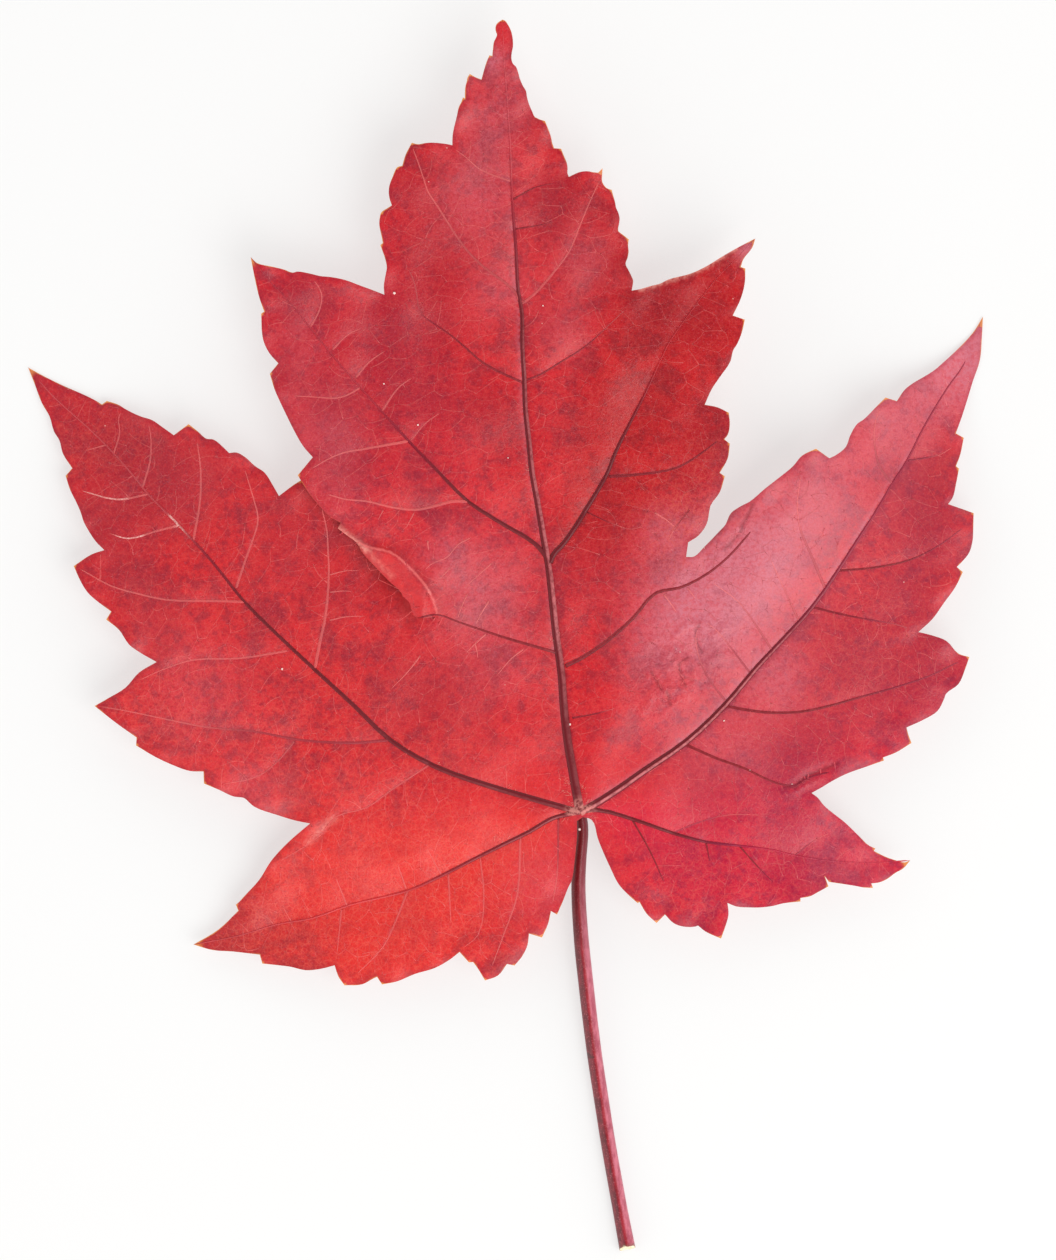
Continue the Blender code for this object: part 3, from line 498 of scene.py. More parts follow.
# %% Side veins of the right lobes
SIDE_VEINS_RIGHT = [
    (0.40, 0.85, [(725.5, 706), (762, 712), (798.5, 712), (826.5, 706.5), (860.5, 697), (896.5, 687),
          (930.5, 675.5), (960, 661)]),
    (0.42, 0.95, [(683.5, 743.5), (717, 758.5), (745, 768.5), (767.5, 779.5), (784.5, 785), (796, 785),
          (807, 778), (829.5, 772)]),
    (0.32, 0.75, [(812.5, 607), (840.5, 614), (868.5, 619.5), (894, 624), (908, 628)]),
    (0.32, 0.85, [(839.5, 570.5), (874.5, 567.5), (911, 559.5), (939, 545.5), (963, 528)]),
    (0.26, 0.40, [(907.5, 460.5), (930, 457), (941.5, 454), (953, 447)]),
    (0.34, 0.28, [(892.5, 483.5), (879.5, 465.5), (875, 447), (875, 424), (880, 408)]),
    (0.34, 0.24, [(825, 588), (811, 555), (799.5, 527.5), (797, 502), (800.5, 476)]),
    (0.28, 0.22, [(799, 621), (781, 582.5), (770.5, 559.5)]),
    (0.28, 0.24, [(772, 650), (753.5, 621.5), (737.5, 601), (712, 582.5)]),
    (0.30, 1.00, [(633, 821), (650, 851), (664, 882)]),
    (0.26, 0.90, [(706, 842), (710, 862.5)]),
    (0.26, 0.90, [(739.5, 846), (759, 868), (773, 882)]),
    (0.26, 0.30, [(750, 673), (738, 657), (728, 644), (718, 632), (706, 622)]),
    (0.26, 0.28, [(725, 700), (713, 685), (703, 668), (697, 650), (696, 636), (699, 627)]),
    (0.22, 0.30, [(795, 856), (812, 842), (830, 833)]),
    (0.20, 0.30, [(672, 833.5), (700, 822), (728, 815), (760, 815)]),
]

# %% Small veins that stand out, which are too fine to bend the blade
SMALL_VEINS_REST = [
    (0.22, 0.00, [(428, 541), (428, 546), (429, 551)]),
    (0.20, 0.12, [(470, 538.5), (458.5, 544.5), (451.5, 552.5), (448, 557), (432.5, 563.5), (424.5, 570.5)]),
    (0.18, 0.10, [(450.5, 568), (442, 577), (432.5, 585)]),
    (0.20, 0.12, [(467.5, 594.5), (462, 606), (457.5, 619)]),
    (0.18, 0.10, [(383.5, 510.5), (380.5, 516), (378, 520.5)]),
    (0.18, 0.10, [(414, 513.5), (410, 521), (406, 528.5)]),
    (0.24, 0.00, [(489, 601.5), (481, 614), (475.5, 625)]),
    (0.20, 0.00, [(523.5, 649.5), (511, 659), (497, 675.5)]),
    (0.18, 0.10, [(492, 563.5), (478, 575.5), (464.5, 588)]),
    (0.18, 0.00, [(664, 595), (671, 604), (677, 613)]),
    (0.18, 0.10, [(687.5, 588), (692, 594), (696, 599.5)]),
    (0.20, 0.00, [(655, 513), (667, 520.5), (675.5, 528)]),
    (0.20, 0.35, [(689, 510), (684.5, 516), (674.5, 529), (668.5, 541)]),
]
SMALL_VEINS_LEFT = [
    (0.22, 0.00, [(486, 634.5), (475, 644), (466, 653.5)]),
    (0.18, 0.00, [(475, 644), (477, 651), (478, 659)]),
    (0.20, 0.00, [(420.5, 656), (407, 673), (390.5, 689.5)]),
    (0.18, 0.00, [(330, 575), (345, 571), (359.5, 570.5)]),
    (0.18, 0.00, [(330, 592.5), (342.5, 591), (353, 591.5)]),
    (0.18, 0.00, [(330, 620.5), (345, 617), (365.5, 616)]),
]


def smooth_veins(veins, substeps=3):
    """The drawn veins as curves on the table."""
    return [curve_through(on_table(vein), substeps) for vein in veins]


def points_of(side_veins):
    """The side veins' points alone, without their widths and darkness."""
    return [points for _, _, points in side_veins]


main_middle = smooth_veins([MIDRIB, SHOULDER_LEFT_MAIN, SHOULDER_RIGHT_MAIN])
main_right = smooth_veins([RIGHT_MAIN, BASAL_RIGHT_MAIN])
main_left = smooth_veins([LEFT_MAIN, BASAL_LEFT_MAIN])
side_rest = smooth_veins(points_of(SIDE_VEINS_MIDDLE + SIDE_VEINS_RIGHT))
side_left = smooth_veins(points_of(SIDE_VEINS_LEFT))
main_lines = main_middle + main_right + main_left
side_lines = side_rest + side_left
print("veins:", len(main_lines), "main,", len(side_lines), "side")

# %% [markdown]
# ## How high the blade lies
#
# A dried leaf is stiff. It touches the table at two tips and at the foot of its stalk, and
# arches clear between them. The heights are given at a few dozen stations, and a thin plate,
# bent as little as it can be, joins them. Then the veins pull the blade down into valleys, so
# that it swells between them, and the edge waves.

# %% Stations, in squares and millimetres
STATIONS = [
    (580, 811, 4.5), (563, 680, 4.8), (546, 555, 5.2), (524, 380, 6.0), (514, 240, 7.2),
    (508, 130, 8.4), (502, 21, 9.4),
    (455, 560, 6.2), (400, 330, 6.6), (425, 150, 8.2), (590, 180, 8.2), (625, 400, 6.2),
    (251, 257, 7.4), (381, 411, 6.0), (384, 290, 7.2), (298, 475, 6.6), (265, 340, 7.0),
    (345, 530, 6.4), (405, 600, 6.0), (432, 617, 5.8),
    (755, 239, 7.8), (660, 360, 6.9), (631, 291, 7.2), (740, 320, 7.8), (728, 440, 7.6),
    (703, 530, 7.0), (686, 557, 6.8),
    (686, 741, 4.4), (812, 607, 4.2), (907, 460, 2.5), (964, 364, 0.15), (984, 316, 0.0),
    (650, 650, 6.0), (760, 530, 7.8), (815, 450, 8.2), (885, 400, 4.8), (940, 368, 1.2),
    (972, 390, 0.3), (958, 500, 3.4), (963, 572, 4.2), (969, 657, 4.6), (911, 743, 4.8),
    (812, 793, 5.2),
    (706, 842, 4.0), (829, 861, 3.8), (911, 860, 3.6), (722, 938, 5.2), (645, 912, 5.4),
    (604, 852, 5.2), (865, 885, 4.4),
    (502, 845, 4.2), (409, 890, 3.4), (277, 924, 2.2), (193, 945, 1.8), (572, 880, 5.5),
    (540, 937, 5.4), (485, 980, 5.0), (382, 984, 4.6), (262, 964, 3.0), (271, 861, 4.0),
    (310, 823, 4.6),
    (435, 764, 4.2), (277, 634, 3.4), (165, 511, 2.0), (80, 420, 0.3), (27, 367, 0.0),
    (94, 706, 4.6), (156, 662, 4.6), (73, 566, 4.0), (80, 511, 3.0), (50, 430, 0.9),
    (220, 790, 5.2), (110, 408, 1.0), (188, 430, 4.0), (260, 470, 5.2), (279, 496, 5.4),
    (330, 560, 5.2), (430, 690, 5.0),
]
MAIN_VALLEY = {"depth": 1.0 * MM, "reach": 5.0 * MM, "bottom": 0.4 * MM}
GROOVE = {"depth": 0.16 * MM, "reach": 0.6 * MM, "bottom": 0.10 * MM}
SIDE_VALLEY = {"depth": 0.34 * MM, "reach": 1.4 * MM, "bottom": 0.12 * MM}
OVERLAP_RISE = 0.9 * MM
OVERLAP_DIP = 0.7 * MM
OVERLAP_REACH = 7.0 * MM
FOLD_LINE = [
    (437, 613), (433, 600), (425, 585), (410, 568), (392, 553), (365, 546), (350, 536), (339, 528.5),
]
FOLD_HEIGHT = 0.45 * MM
FOLD_REACH = 1.2 * MM
FLAP_DROP = 0.65 * MM
FLAP_REACH = 2.6 * MM
HUB_HEIGHT = 0.35 * MM
HUB_REACH = 1.7 * MM
SWELL = {"height": 0.09 * MM, "length": 9 * MM, "seed": 4}
EDGE_WAVE = {"height": 0.16 * MM, "length": 5 * MM, "seed": 9}
EDGE_REACH = 2.5 * MM
# Creases: (height in millimetres, reach in millimetres, points); the sunken ones, of negative height, also
# get painted shade
CREASES = [
    (-0.26, 0.36, [(784, 787), (796, 785), (806, 776), (824, 769), (838, 763)]),
    (0.24, 0.42, [(780, 792), (794, 791), (808, 783), (826, 776)]),
    (0.26, 0.26, [(655, 696), (668, 688), (683, 690), (690, 700)]),
    (0.30, 0.26, [(664, 672), (676, 660), (690, 662), (697, 675)]),
    (0.26, 0.26, [(680, 652), (693, 664), (696, 680), (690, 694)]),
    (0.22, 0.26, [(640, 716), (650, 700), (655, 684)]),
    (0.24, 0.26, [(672, 640), (684, 626), (700, 622), (712, 630)]),
    (0.22, 0.26, [(705, 668), (716, 656), (733, 656)]),
    (-0.12, 0.20, [(687, 658), (679, 663), (680, 674.5), (686, 686)]),
    (-0.10, 0.20, [(699, 626), (695.5, 632), (696, 641), (702, 652.5)]),
    (-0.09, 0.18, [(651, 672), (656, 680), (661, 689)]),
    (-0.09, 0.18, [(667, 692), (671, 705)]),
    (0.24, 0.28, [(674, 648), (667, 656), (663, 666)]),
    (-0.10, 0.18, [(725, 549), (738, 535), (748, 516), (752, 505)]),
    (0.12, 0.24, [(700, 610), (716, 604), (730, 610)]),
    (0.12, 0.24, [(640, 655), (652, 640), (668, 634)]),
    (0.12, 0.24, [(712, 640), (722, 628), (736, 626)]),
    (-0.07, 0.20, [(692, 556), (701, 548.5), (712, 538), (722, 528.5)]),
    (-0.07, 0.18, [(727, 521), (733, 512)]),
]

# %% Distances
CHUNK = 20000


def beside(points, line):
    """How far each point lies from a line, and how far along it the nearest place is, from 0 to 1.

    For every span of the line, the nearest place on it is where the point's shadow falls,
    held between the span's two ends. The smallest of those distances is the one that counts.
    """
    steps = np.diff(line, axis=0)
    lengths = np.linalg.norm(steps, axis=1)
    run = np.concatenate([[0], np.cumsum(lengths)])
    gaps, along = np.empty(len(points)), np.empty(len(points))
    for start in range(0, len(points), CHUNK):
        part = slice(start, start + CHUNK)
        reach = points[part, None] - line[:-1]
        shares = np.clip((reach * steps).sum(2) / lengths**2, 0, 1)
        distances = np.linalg.norm(reach - shares[..., None] * steps, axis=2)
        nearest = distances.argmin(1)
        rows = np.arange(len(nearest))
        gaps[part] = distances[rows, nearest]
        along[part] = (run[nearest] + shares[rows, nearest] * lengths[nearest]) / run[-1]
    return gaps, along


def near(points, line, reach):
    """Whether each point is in the line's box, widened by reach."""
    return ((points > line.min(0) - reach) & (points < line.max(0) + reach)).all(1)


def least_gap(points, lines, reach):
    """The distance to the nearest of several lines, or reach where all are further than that."""
    gaps = np.full(len(points), reach)
    for line in lines:
        close = near(points, line, reach)
        gaps[close] = np.minimum(gaps[close], beside(points[close], line)[0])
    return gaps


def cut_up(line, pieces):
    """A long line as several short ones that meet end to end, which are quicker to measure from."""
    stops = np.linspace(0, len(line) - 1, pieces + 1).astype(int)
    return [line[start:stop + 1] for start, stop in zip(stops, stops[1:])]


edge_lines_left = cut_up(margin_left, 16)
edge_lines_rest = cut_up(margin_rest, 24)

# %% The surface


def ramp(low, high, values):
    """0 below low, 1 above high and a smooth rise between them."""
    share = np.clip((values - low) / (high - low), 0, 1)
    return share * share * (3 - 2 * share)


def swell(points, length, seed, waves=40):
    """An even random swell about 1 high: sine waves of nearly one length, in every direction."""
    rng = np.random.default_rng(seed)
    heading = rng.uniform(0, 2 * np.pi, waves)
    number = 2 * np.pi / (length * rng.uniform(0.7, 1.5, waves))
    ways = np.stack([np.cos(heading), np.sin(heading)]) * number
    return np.sin(points @ ways + rng.uniform(0, 2 * np.pi, waves)).sum(1) * (2 / waves) ** 0.5


def valleys(points, veins, depth, reach, bottom):
    """How far the blade sags beside these veins.

    It sags by depth at a vein's thick end, by nothing at its tip, and the sag falls off to a
    third at each reach from the vein. Within bottom of the vein the valley is round.
    """
    level = np.ones(len(points))
    for vein in veins:
        close = near(points, vein, 6 * reach)
        gap, along = beside(points[close], vein)
        gap = np.hypot(gap, bottom) - bottom
        level[close] *= 1 - np.exp(-gap / reach) * (1 - along**2)
    return -depth * (1 - level)


def sag(points):
    """The sag of the blade at all its veins together."""
    return (
        valleys(points, main_lines, **MAIN_VALLEY) + valleys(points, main_lines, **GROOVE)
        + valleys(points, side_lines, **SIDE_VALLEY)
    )


def bend(radii):
    """The thin plate's r squared log r."""
    return radii**2 * np.log(np.maximum(radii, 1e-12))


def thin_plate(places, heights):
    """The weights of the smoothest surface through the heights at those places."""
    count = len(places)
    flat = np.hstack([np.ones((count, 1)), places])
    table = np.zeros((count + 3, count + 3))
    table[:count, :count] = bend(np.linalg.norm(places[:, None] - places, axis=2))
    table[:count, count:] = flat
    table[count:, :count] = flat.T
    return np.linalg.solve(table, np.concatenate([heights, np.zeros(3)]))


station_places = on_table(np.array(STATIONS)[:, :2])
plate_weights = thin_plate(station_places, np.array(STATIONS)[:, 2] * MM - sag(station_places))
overlap_line = on_table([SINUS_LEFT] + MIDDLE_OVER_LEFT)
fold_line = curve_through(on_table(FOLD_LINE), 3)
crease_lines = [(height * MM, reach * MM, on_table(points)) for height, reach, points in CREASES]


def blade_height(points, over_left):
    """The height of the blade's middle over the table, for points of either half.

    It is the thin plate through the stations, plus the sag at the veins, the rise or dip
    where the middle lobe lies over the left one, the fold beside that sinus with its flap
    falling to the lobe below, the knot at the hub, the creases, a low swell everywhere and
    a wave that grows towards the margin.
    """
    gaps = np.linalg.norm(points[:, None] - station_places, axis=2)
    flat = np.hstack([np.ones((len(points), 1)), points])
    height = bend(gaps) @ plate_weights[:-3] + flat @ plate_weights[-3:] + sag(points)
    gap, along = beside(points, overlap_line)
    share = 0.2 * ramp(0, 0.06, along) + 0.8 * ramp(0.12, 0.34, along)
    share *= 1 - ramp(0, OVERLAP_REACH, gap)
    height += share * np.where(over_left, OVERLAP_RISE, -OVERLAP_DIP)
    fold_gap, fold_share = beside(points, fold_line)
    fold_rise = FOLD_HEIGHT * np.exp(-fold_gap / FOLD_REACH) * ramp(1.0, 0.75, fold_share)
    flap = FLAP_DROP * (1 - ramp(0, FLAP_REACH, gap)) * ramp(0.05, 0.2, along) * ramp(0.8, 0.5, along)
    height += np.where(over_left, fold_rise - flap, 0)
    hub_gap = np.linalg.norm(points - on_table(HEAD), axis=1)
    height += HUB_HEIGHT * np.exp(-(hub_gap / HUB_REACH) ** 2)
    for crease_height, reach, line in crease_lines:
        close = near(points, line, 4 * reach)
        crease_gap, crease_share = beside(points[close], line)
        swelling = np.sin(np.pi * crease_share) ** 0.5
        height[close] += crease_height * swelling * np.exp(-(crease_gap / reach) ** 2)
    edge_left = least_gap(points, edge_lines_left, 4 * EDGE_REACH)
    edge_rest = least_gap(points, edge_lines_rest, 4 * EDGE_REACH)
    edge = np.where(over_left, edge_rest, edge_left)
    aloft = ramp(0.3 * MM, 2.5 * MM, height)
    wave = EDGE_WAVE["height"] * np.exp(-edge / EDGE_REACH)
    height += aloft * wave * swell(points, EDGE_WAVE["length"], EDGE_WAVE["seed"])
    height += aloft * SWELL["height"] * swell(points, SWELL["length"], SWELL["seed"])
    return height


print("height at the head, mm:", (blade_height(on_table([HEAD]), np.array([True])) / MM).round(2))

# %% [markdown]
# ## The blade
#
# A grid of squares can't end in teeth, so the sheet is cut into triangles instead: a
# honeycomb of points inside, the margin's own points round it, and the lines of the veins
# laid in as creases. Blender's constrained triangulation joins them all. The same triangles
# are then used above and below, a quarter of a millimetre apart, with a rim between them.

# %% Points and triangles of one half
HONEYCOMB = 0.45 * MM
CREASE_STEP = 0.45 * MM
BLADE_THICKNESS = 0.26 * MM
RIM_SHARE = 0.45  # the rim's thickness as a share of the blade's
RIM_REACH = 0.5 * MM


def spaced(line, step):
    """The line as evenly spaced points, about a step apart."""
    run = np.concatenate([[0], np.cumsum(np.linalg.norm(np.diff(line, axis=0), axis=1))])
    stops = np.linspace(0, run[-1], max(2, round(run[-1] / step) + 1))
    return np.stack([np.interp(stops, run, column) for column in line.T], 1)


def inside(points, outline):
    """True for each point within the closed outline: a ray to its right crosses it an odd number of times."""
    ends = np.roll(outline, -1, axis=0)
    rise = np.where(ends[:, 1] == outline[:, 1], 1, ends[:, 1] - outline[:, 1])
    slope = (ends[:, 0] - outline[:, 0]) / rise
    within = np.empty(len(points), bool)
    for start in range(0, len(points), CHUNK):
        x, y = points[start:start + CHUNK, :1], points[start:start + CHUNK, 1:]
        spans = (outline[:, 1] > y) != (ends[:, 1] > y)
        crossings = outline[:, 0] + (y - outline[:, 1]) * slope
        within[start:start + CHUNK] = (spans & (x < crossings)).sum(1) % 2 == 1
    return within


def honeycomb(low, high, spacing):
    """Points in rows, every other row moved by half a space, so that all neighbours are as near."""
    rows = np.arange(low[1], high[1], spacing * 0.75**0.5)
    columns = np.arange(low[0], high[0], spacing)
    x = columns + 0.5 * spacing * (np.arange(len(rows)) % 2)[:, None]
    return np.column_stack([x.ravel(), np.repeat(rows, len(columns))])


def triangulate(outline, edge_lines, veins):
    """One half cut into triangles that follow its margin and its veins."""
    creases = []
    for vein in veins:
        line = spaced(vein, CREASE_STEP)
        kept = inside(line, outline) & (least_gap(line, edge_lines + [seam], 1 * MM) > 0.6 * HONEYCOMB)
        if kept.sum() > 1:
            creases.append(line[kept])
    filling = honeycomb(outline.min(0), outline.max(0), HONEYCOMB)
    filling = filling[inside(filling, outline)]
    filling = filling[least_gap(filling, edge_lines + [seam], 1 * MM) > 0.5 * HONEYCOMB]
    filling = filling[least_gap(filling, creases, 1 * MM) > 0.45 * HONEYCOMB]
    points = np.vstack([outline, *creases, filling])
    joins, first = [], len(outline)
    for line in creases:
        joins += [(first + i, first + i + 1) for i in range(len(line) - 1)]
        first += len(line)
    ring = list(range(len(outline)))
    flat, _, triangles, *_ = delaunay_2d_cdt([Vector(p) for p in points], joins, [ring], 1, 1e-8)
    flat, triangles = np.array([tuple(p) for p in flat]), np.array(triangles)
    a, b, c = (flat[triangles[:, k]] for k in range(3))
    facing = (b[:, 0] - a[:, 0]) * (c[:, 1] - a[:, 1]) - (b[:, 1] - a[:, 1]) * (c[:, 0] - a[:, 0])
    return flat, np.where(facing[:, None] > 0, triangles, triangles[:, ::-1])


# %% Sew the halves together


def sewn_halves():
    """Points, which of them are over the left lobe, and triangles of the whole sheet."""
    keys, faces, count = [], [], 0
    folds = [fold_line] + [line for _, _, line in crease_lines]
    halves = (
        (outline_left, edge_lines_left, main_left + side_left),
        (outline_rest, edge_lines_rest, main_middle + main_right + side_rest + folds),
    )
    for half, (outline, edge_lines, veins) in enumerate(halves):
        points, triangles = triangulate(outline, edge_lines, veins)
        shared = near(points, seam, MM) & (least_gap(points, [seam], MM) < 1e-6)
        keys.append(np.column_stack([points, np.where(shared, 0.5, half)]))
        faces.append(triangles + count)
        count += len(points)
    keys = np.vstack(keys)
    _, first, same = np.unique(np.round(keys, 7), axis=0, return_index=True, return_inverse=True)
    return keys[first, :2], keys[first, 2] > 0.6, same.reshape(-1)[np.vstack(faces)]


sheet, sheet_over_left, sheet_triangles = sewn_halves()
print("sheet:", len(sheet), "points,", len(sheet_triangles), "triangles")

# %% Give the sheet its height and thickness


def upright(points, heights, triangles):
    """The vertical part of each vertex's normal on the sheet of these heights."""
    spots = np.column_stack([points, heights])
    a, b, c = (spots[triangles[:, k]] for k in range(3))
    facing = np.cross(b - a, c - a)
    normals = np.zeros_like(spots)
    for k in range(3):
        np.add.at(normals, triangles[:, k], facing)
    return normals[:, 2] / np.linalg.norm(normals, axis=1)


def rim_edges(triangles):
    """The edges that only one triangle has, in that triangle's direction."""
    edges = np.vstack([triangles[:, [0, 1]], triangles[:, [1, 2]], triangles[:, [2, 0]]])
    size = triangles.max() + 1
    return edges[~np.isin(edges[:, 0] * size + edges[:, 1], edges[:, 1] * size + edges[:, 0])]


sheet_height = blade_height(sheet, sheet_over_left)
sheet_edge = np.where(
    sheet_over_left,
    least_gap(sheet, edge_lines_rest, 12 * MM),
    least_gap(sheet, edge_lines_left, 12 * MM),
)
half_thickness = 0.5 * BLADE_THICKNESS * (RIM_SHARE + (1 - RIM_SHARE) * ramp(0, RIM_REACH, sheet_edge))
half_thickness = half_thickness / upright(sheet, sheet_height, sheet_triangles)
sheet_middle = np.maximum(sheet_height, half_thickness)
over = np.column_stack([sheet, sheet_middle + half_thickness])
under = np.column_stack([sheet, sheet_middle - half_thickness])
rim = rim_edges(sheet_triangles)
start, end = rim[:, :1], rim[:, 1:]
lift = len(sheet)
blade_faces = np.vstack([
    sheet_triangles,
    sheet_triangles[:, ::-1] + lift,
    np.hstack([start + lift, end + lift, end]),
    np.hstack([start + lift, end, start]),
])
print("blade:", len(blade_faces), "triangles")

# %% [markdown]
# ## Ribs
#
# A vein is a rib that stands a little proud on the top of the leaf and much more on its
# underside. Each one is a profile carried along its line: an arc over the blade and a deeper
# arc under it, joined at the sides inside the blade's thickness, so that it grows out of both
# faces. It narrows from its thick end to its tip, where it closes to a point.

# %% A profile along a path


TOWARDS_WINDOW = unit(np.array(WINDOW_WAY)[:2])
# Shares of a main vein's line at which the strength of the painted highlight on its crest is given
CREST_HIGHLIGHT_SHARES = (0.12, 0.27, 0.75)
RIB_FLOOR = 0.01 * MM  # the lowest a rib goes, so that at a tip on the table it stays within the blade
GLINT_STRENGTH = 0.8
GLINT_REACH = 0.24 * MM
FAR = 6 * MM  # how far from a line its effect on a finish is worked out at all


def rib_rings(path, width, top, below, over_left, u):
    """Rings of points round a rib, one ring for each point of the path.

    Across the rib, u goes from -1 to 1 and back. The base is the blade's height at the
    rib's middle and at both its sides, with straight lines between. The top arc is the base
    plus half the blade's thickness plus top times (1 - u squared), and the lower arc is its
    mirror with below instead of top. Both start sunk a little into the blade, and neither
    goes lower than RIB_FLOOR.
    """
    heading = unit(np.gradient(path, axis=0))
    across = np.stack([heading[:, 1], -heading[:, 0]], 1)
    up = np.repeat([1.0, -1.0], len(u) // 2)
    out = across * (0.5 * width)[:, None]
    places = path[:, None] + out[:, None] * u[:, None]
    middle, left, right = (blade_height(path + way * out, over_left)[:, None] for way in (0, -1, 1))
    base = middle + np.where(u < 0, left - middle, right - middle) * np.abs(u)
    rise = np.where(up > 0, top[:, None], below[:, None]) * (1 - u**2)
    skin = 0.5 * BLADE_THICKNESS * (0.55 + 0.45 * (1 - u**4))
    return np.concatenate([places, np.maximum(base + up * (skin + rise), RIB_FLOOR)[..., None]], 2)


def ring_faces(count, sides, first):
    """Quads between each ring and the next, and a cap of one face at each end."""
    ring = np.arange(sides)
    rows = first + np.arange(count - 1)[:, None] * sides
    quads = np.stack([rows + ring, rows + sides + ring, rows + sides + (ring + 1) % sides,
                      rows + (ring + 1) % sides], 2)
    caps = [(first + ring).tolist(), (first + (count - 1) * sides + ring)[::-1].tolist()]
    return quads.reshape(-1, 4).tolist() + caps


def rib_piece(name, veins, rises, step, arc_points, material):
    """One object of all these ribs.

    A vein is its line, which half it is on, its widths at both ends with its taper, how dark
    it is at both ends with the shares of the line between which that fades, how strong the
    painted highlight on its crest is at CREST_HIGHLIGHT_SHARES, and how pale it is where it
    isn't dark. The width falls by the share of the line still to go, to the power taper. Kept
    as attributes are the last three, on which face each point lies, how far it is from the
    hub, what the skin needs, how near it is to the rib's middle line, its painted glint, and
    its lean: how far it has gone from that line towards the window, in half widths, by which
    the finish paints light and shade.
    """
    spots, faces, lean, middle = [], [], [], []
    dark, crest_highlight, pale = [], [], []
    count = 0
    u = np.sin(np.linspace(-0.5, 0.5, arc_points) * np.pi)
    u = np.concatenate([u, u[::-1]])
    for line, over_left, (thick, thin, taper), (dark_start, dark_end, *fade), crest_highlights, paleness in veins:
        path = spaced(line, step)
        share = np.linspace(0, 1, len(path))
        ends = ramp(0, 0.02, 1 - share)
        width = MM * ends * (thin + (thick - thin) * (1 - share) ** taper) + 0.02 * MM
        size = ends * width / rises["width"]
        over_here = np.full(len(path), over_left)
        rings = rib_rings(path, width, rises["top"] * size, rises["below"] * size, over_here, u)
        faces += ring_faces(len(path), len(u), count)
        spots.append(rings.reshape(-1, 3))
        dark.append(np.repeat(dark_start + (dark_end - dark_start) * ramp(*fade, share), len(u)))
        crest_highlight.append(np.repeat(np.interp(share, CREST_HIGHLIGHT_SHARES, crest_highlights), len(u)))
        pale.append(np.full(len(path) * len(u), paleness))
        heading = unit(np.gradient(path, axis=0))
        to_window = heading[:, 1] * TOWARDS_WINDOW[0] - heading[:, 0] * TOWARDS_WINDOW[1]
        lean.append((to_window[:, None] * u).ravel())
        middle.append(np.tile(1 - u**2, len(path)))
        count += rings.shape[0] * len(u)
    spots = np.vstack(spots)
    piece = add_piece(name, spots, faces, material)
    numbers = {"dark": dark, "crest_highlight": crest_highlight, "pale": pale, "lean": lean, "middle": middle}
    for kept_name, values in numbers.items():
        keep_numbers(piece, kept_name, np.concatenate(values))
    keep_numbers(piece, "upper", np.resize(np.repeat([1.0, 0.0], arc_points), count))
    keep_numbers(piece, "hub_gap", np.linalg.norm(spots[:, :2] - on_table(HEAD), axis=1))
    keep_skin(piece, spots[:, :2])
    glint_gap = least_gap(spots[:, :2], [on_table(line) for line in GLINT_LINES], FAR)
    keep_numbers(piece, "glint", GLINT_STRENGTH * np.exp(-(glint_gap / GLINT_REACH) ** 2))
    print(name, "has", len(piece.data.polygons), "faces")
    return piece


def keep_numbers(piece, name, values):
    """Keeps one number for each point of the piece, for its material to read."""
    layer = piece.data.attributes.new(name, "FLOAT", "POINT")
    layer.data.foreach_set("value", np.asarray(values, np.float32))


def keep_colours(piece, name, colours):
    """Keeps one colour for each point of the piece, for its material to read."""
    layer = piece.data.attributes.new(name, "FLOAT_COLOR", "POINT")
    layer.data.foreach_set("color", np.asarray(colours, np.float32).ravel())


# %% [markdown]
# ## Colours
#
# Each lobe of this leaf turned at its own pace, so each has its own red. They are picked as a
# painter would, in screen values from 0 to 255, and made linear for the shader.

# %% Paints


def paint(red, green, blue):
    """A screen colour as the linear one that a shader works in."""
    share = np.array([red, green, blue]) / 255
    linear = np.where(share <= 0.04045, share / 12.92, ((share + 0.055) / 1.055) ** 2.4)
    return (*linear.tolist(), 1.0)


LOBE_PAINTS = [
    (main_middle[0], paint(190, 18, 32)),
    (main_middle[1], paint(194, 22, 38)),
    (main_middle[2], paint(181, 10, 22)),
    (main_left[0], paint(196, 28, 38)),
    (main_left[1], paint(206, 36, 37)),
    (main_right[0], paint(194, 36, 50)),
    (main_right[1], paint(196, 18, 50)),
]
LOBE_BLEND = 3 * MM


def lobe_tints(points):
    """For each point the mix of the lobes' paints, weighed by nearness to the lobes' main veins."""
    weights = np.stack([(beside(points, line)[0] + LOBE_BLEND) ** -4 for line, _ in LOBE_PAINTS], 1)
    paints = np.array([tint for _, tint in LOBE_PAINTS])
    return weights @ paints / weights.sum(1, keepdims=True)


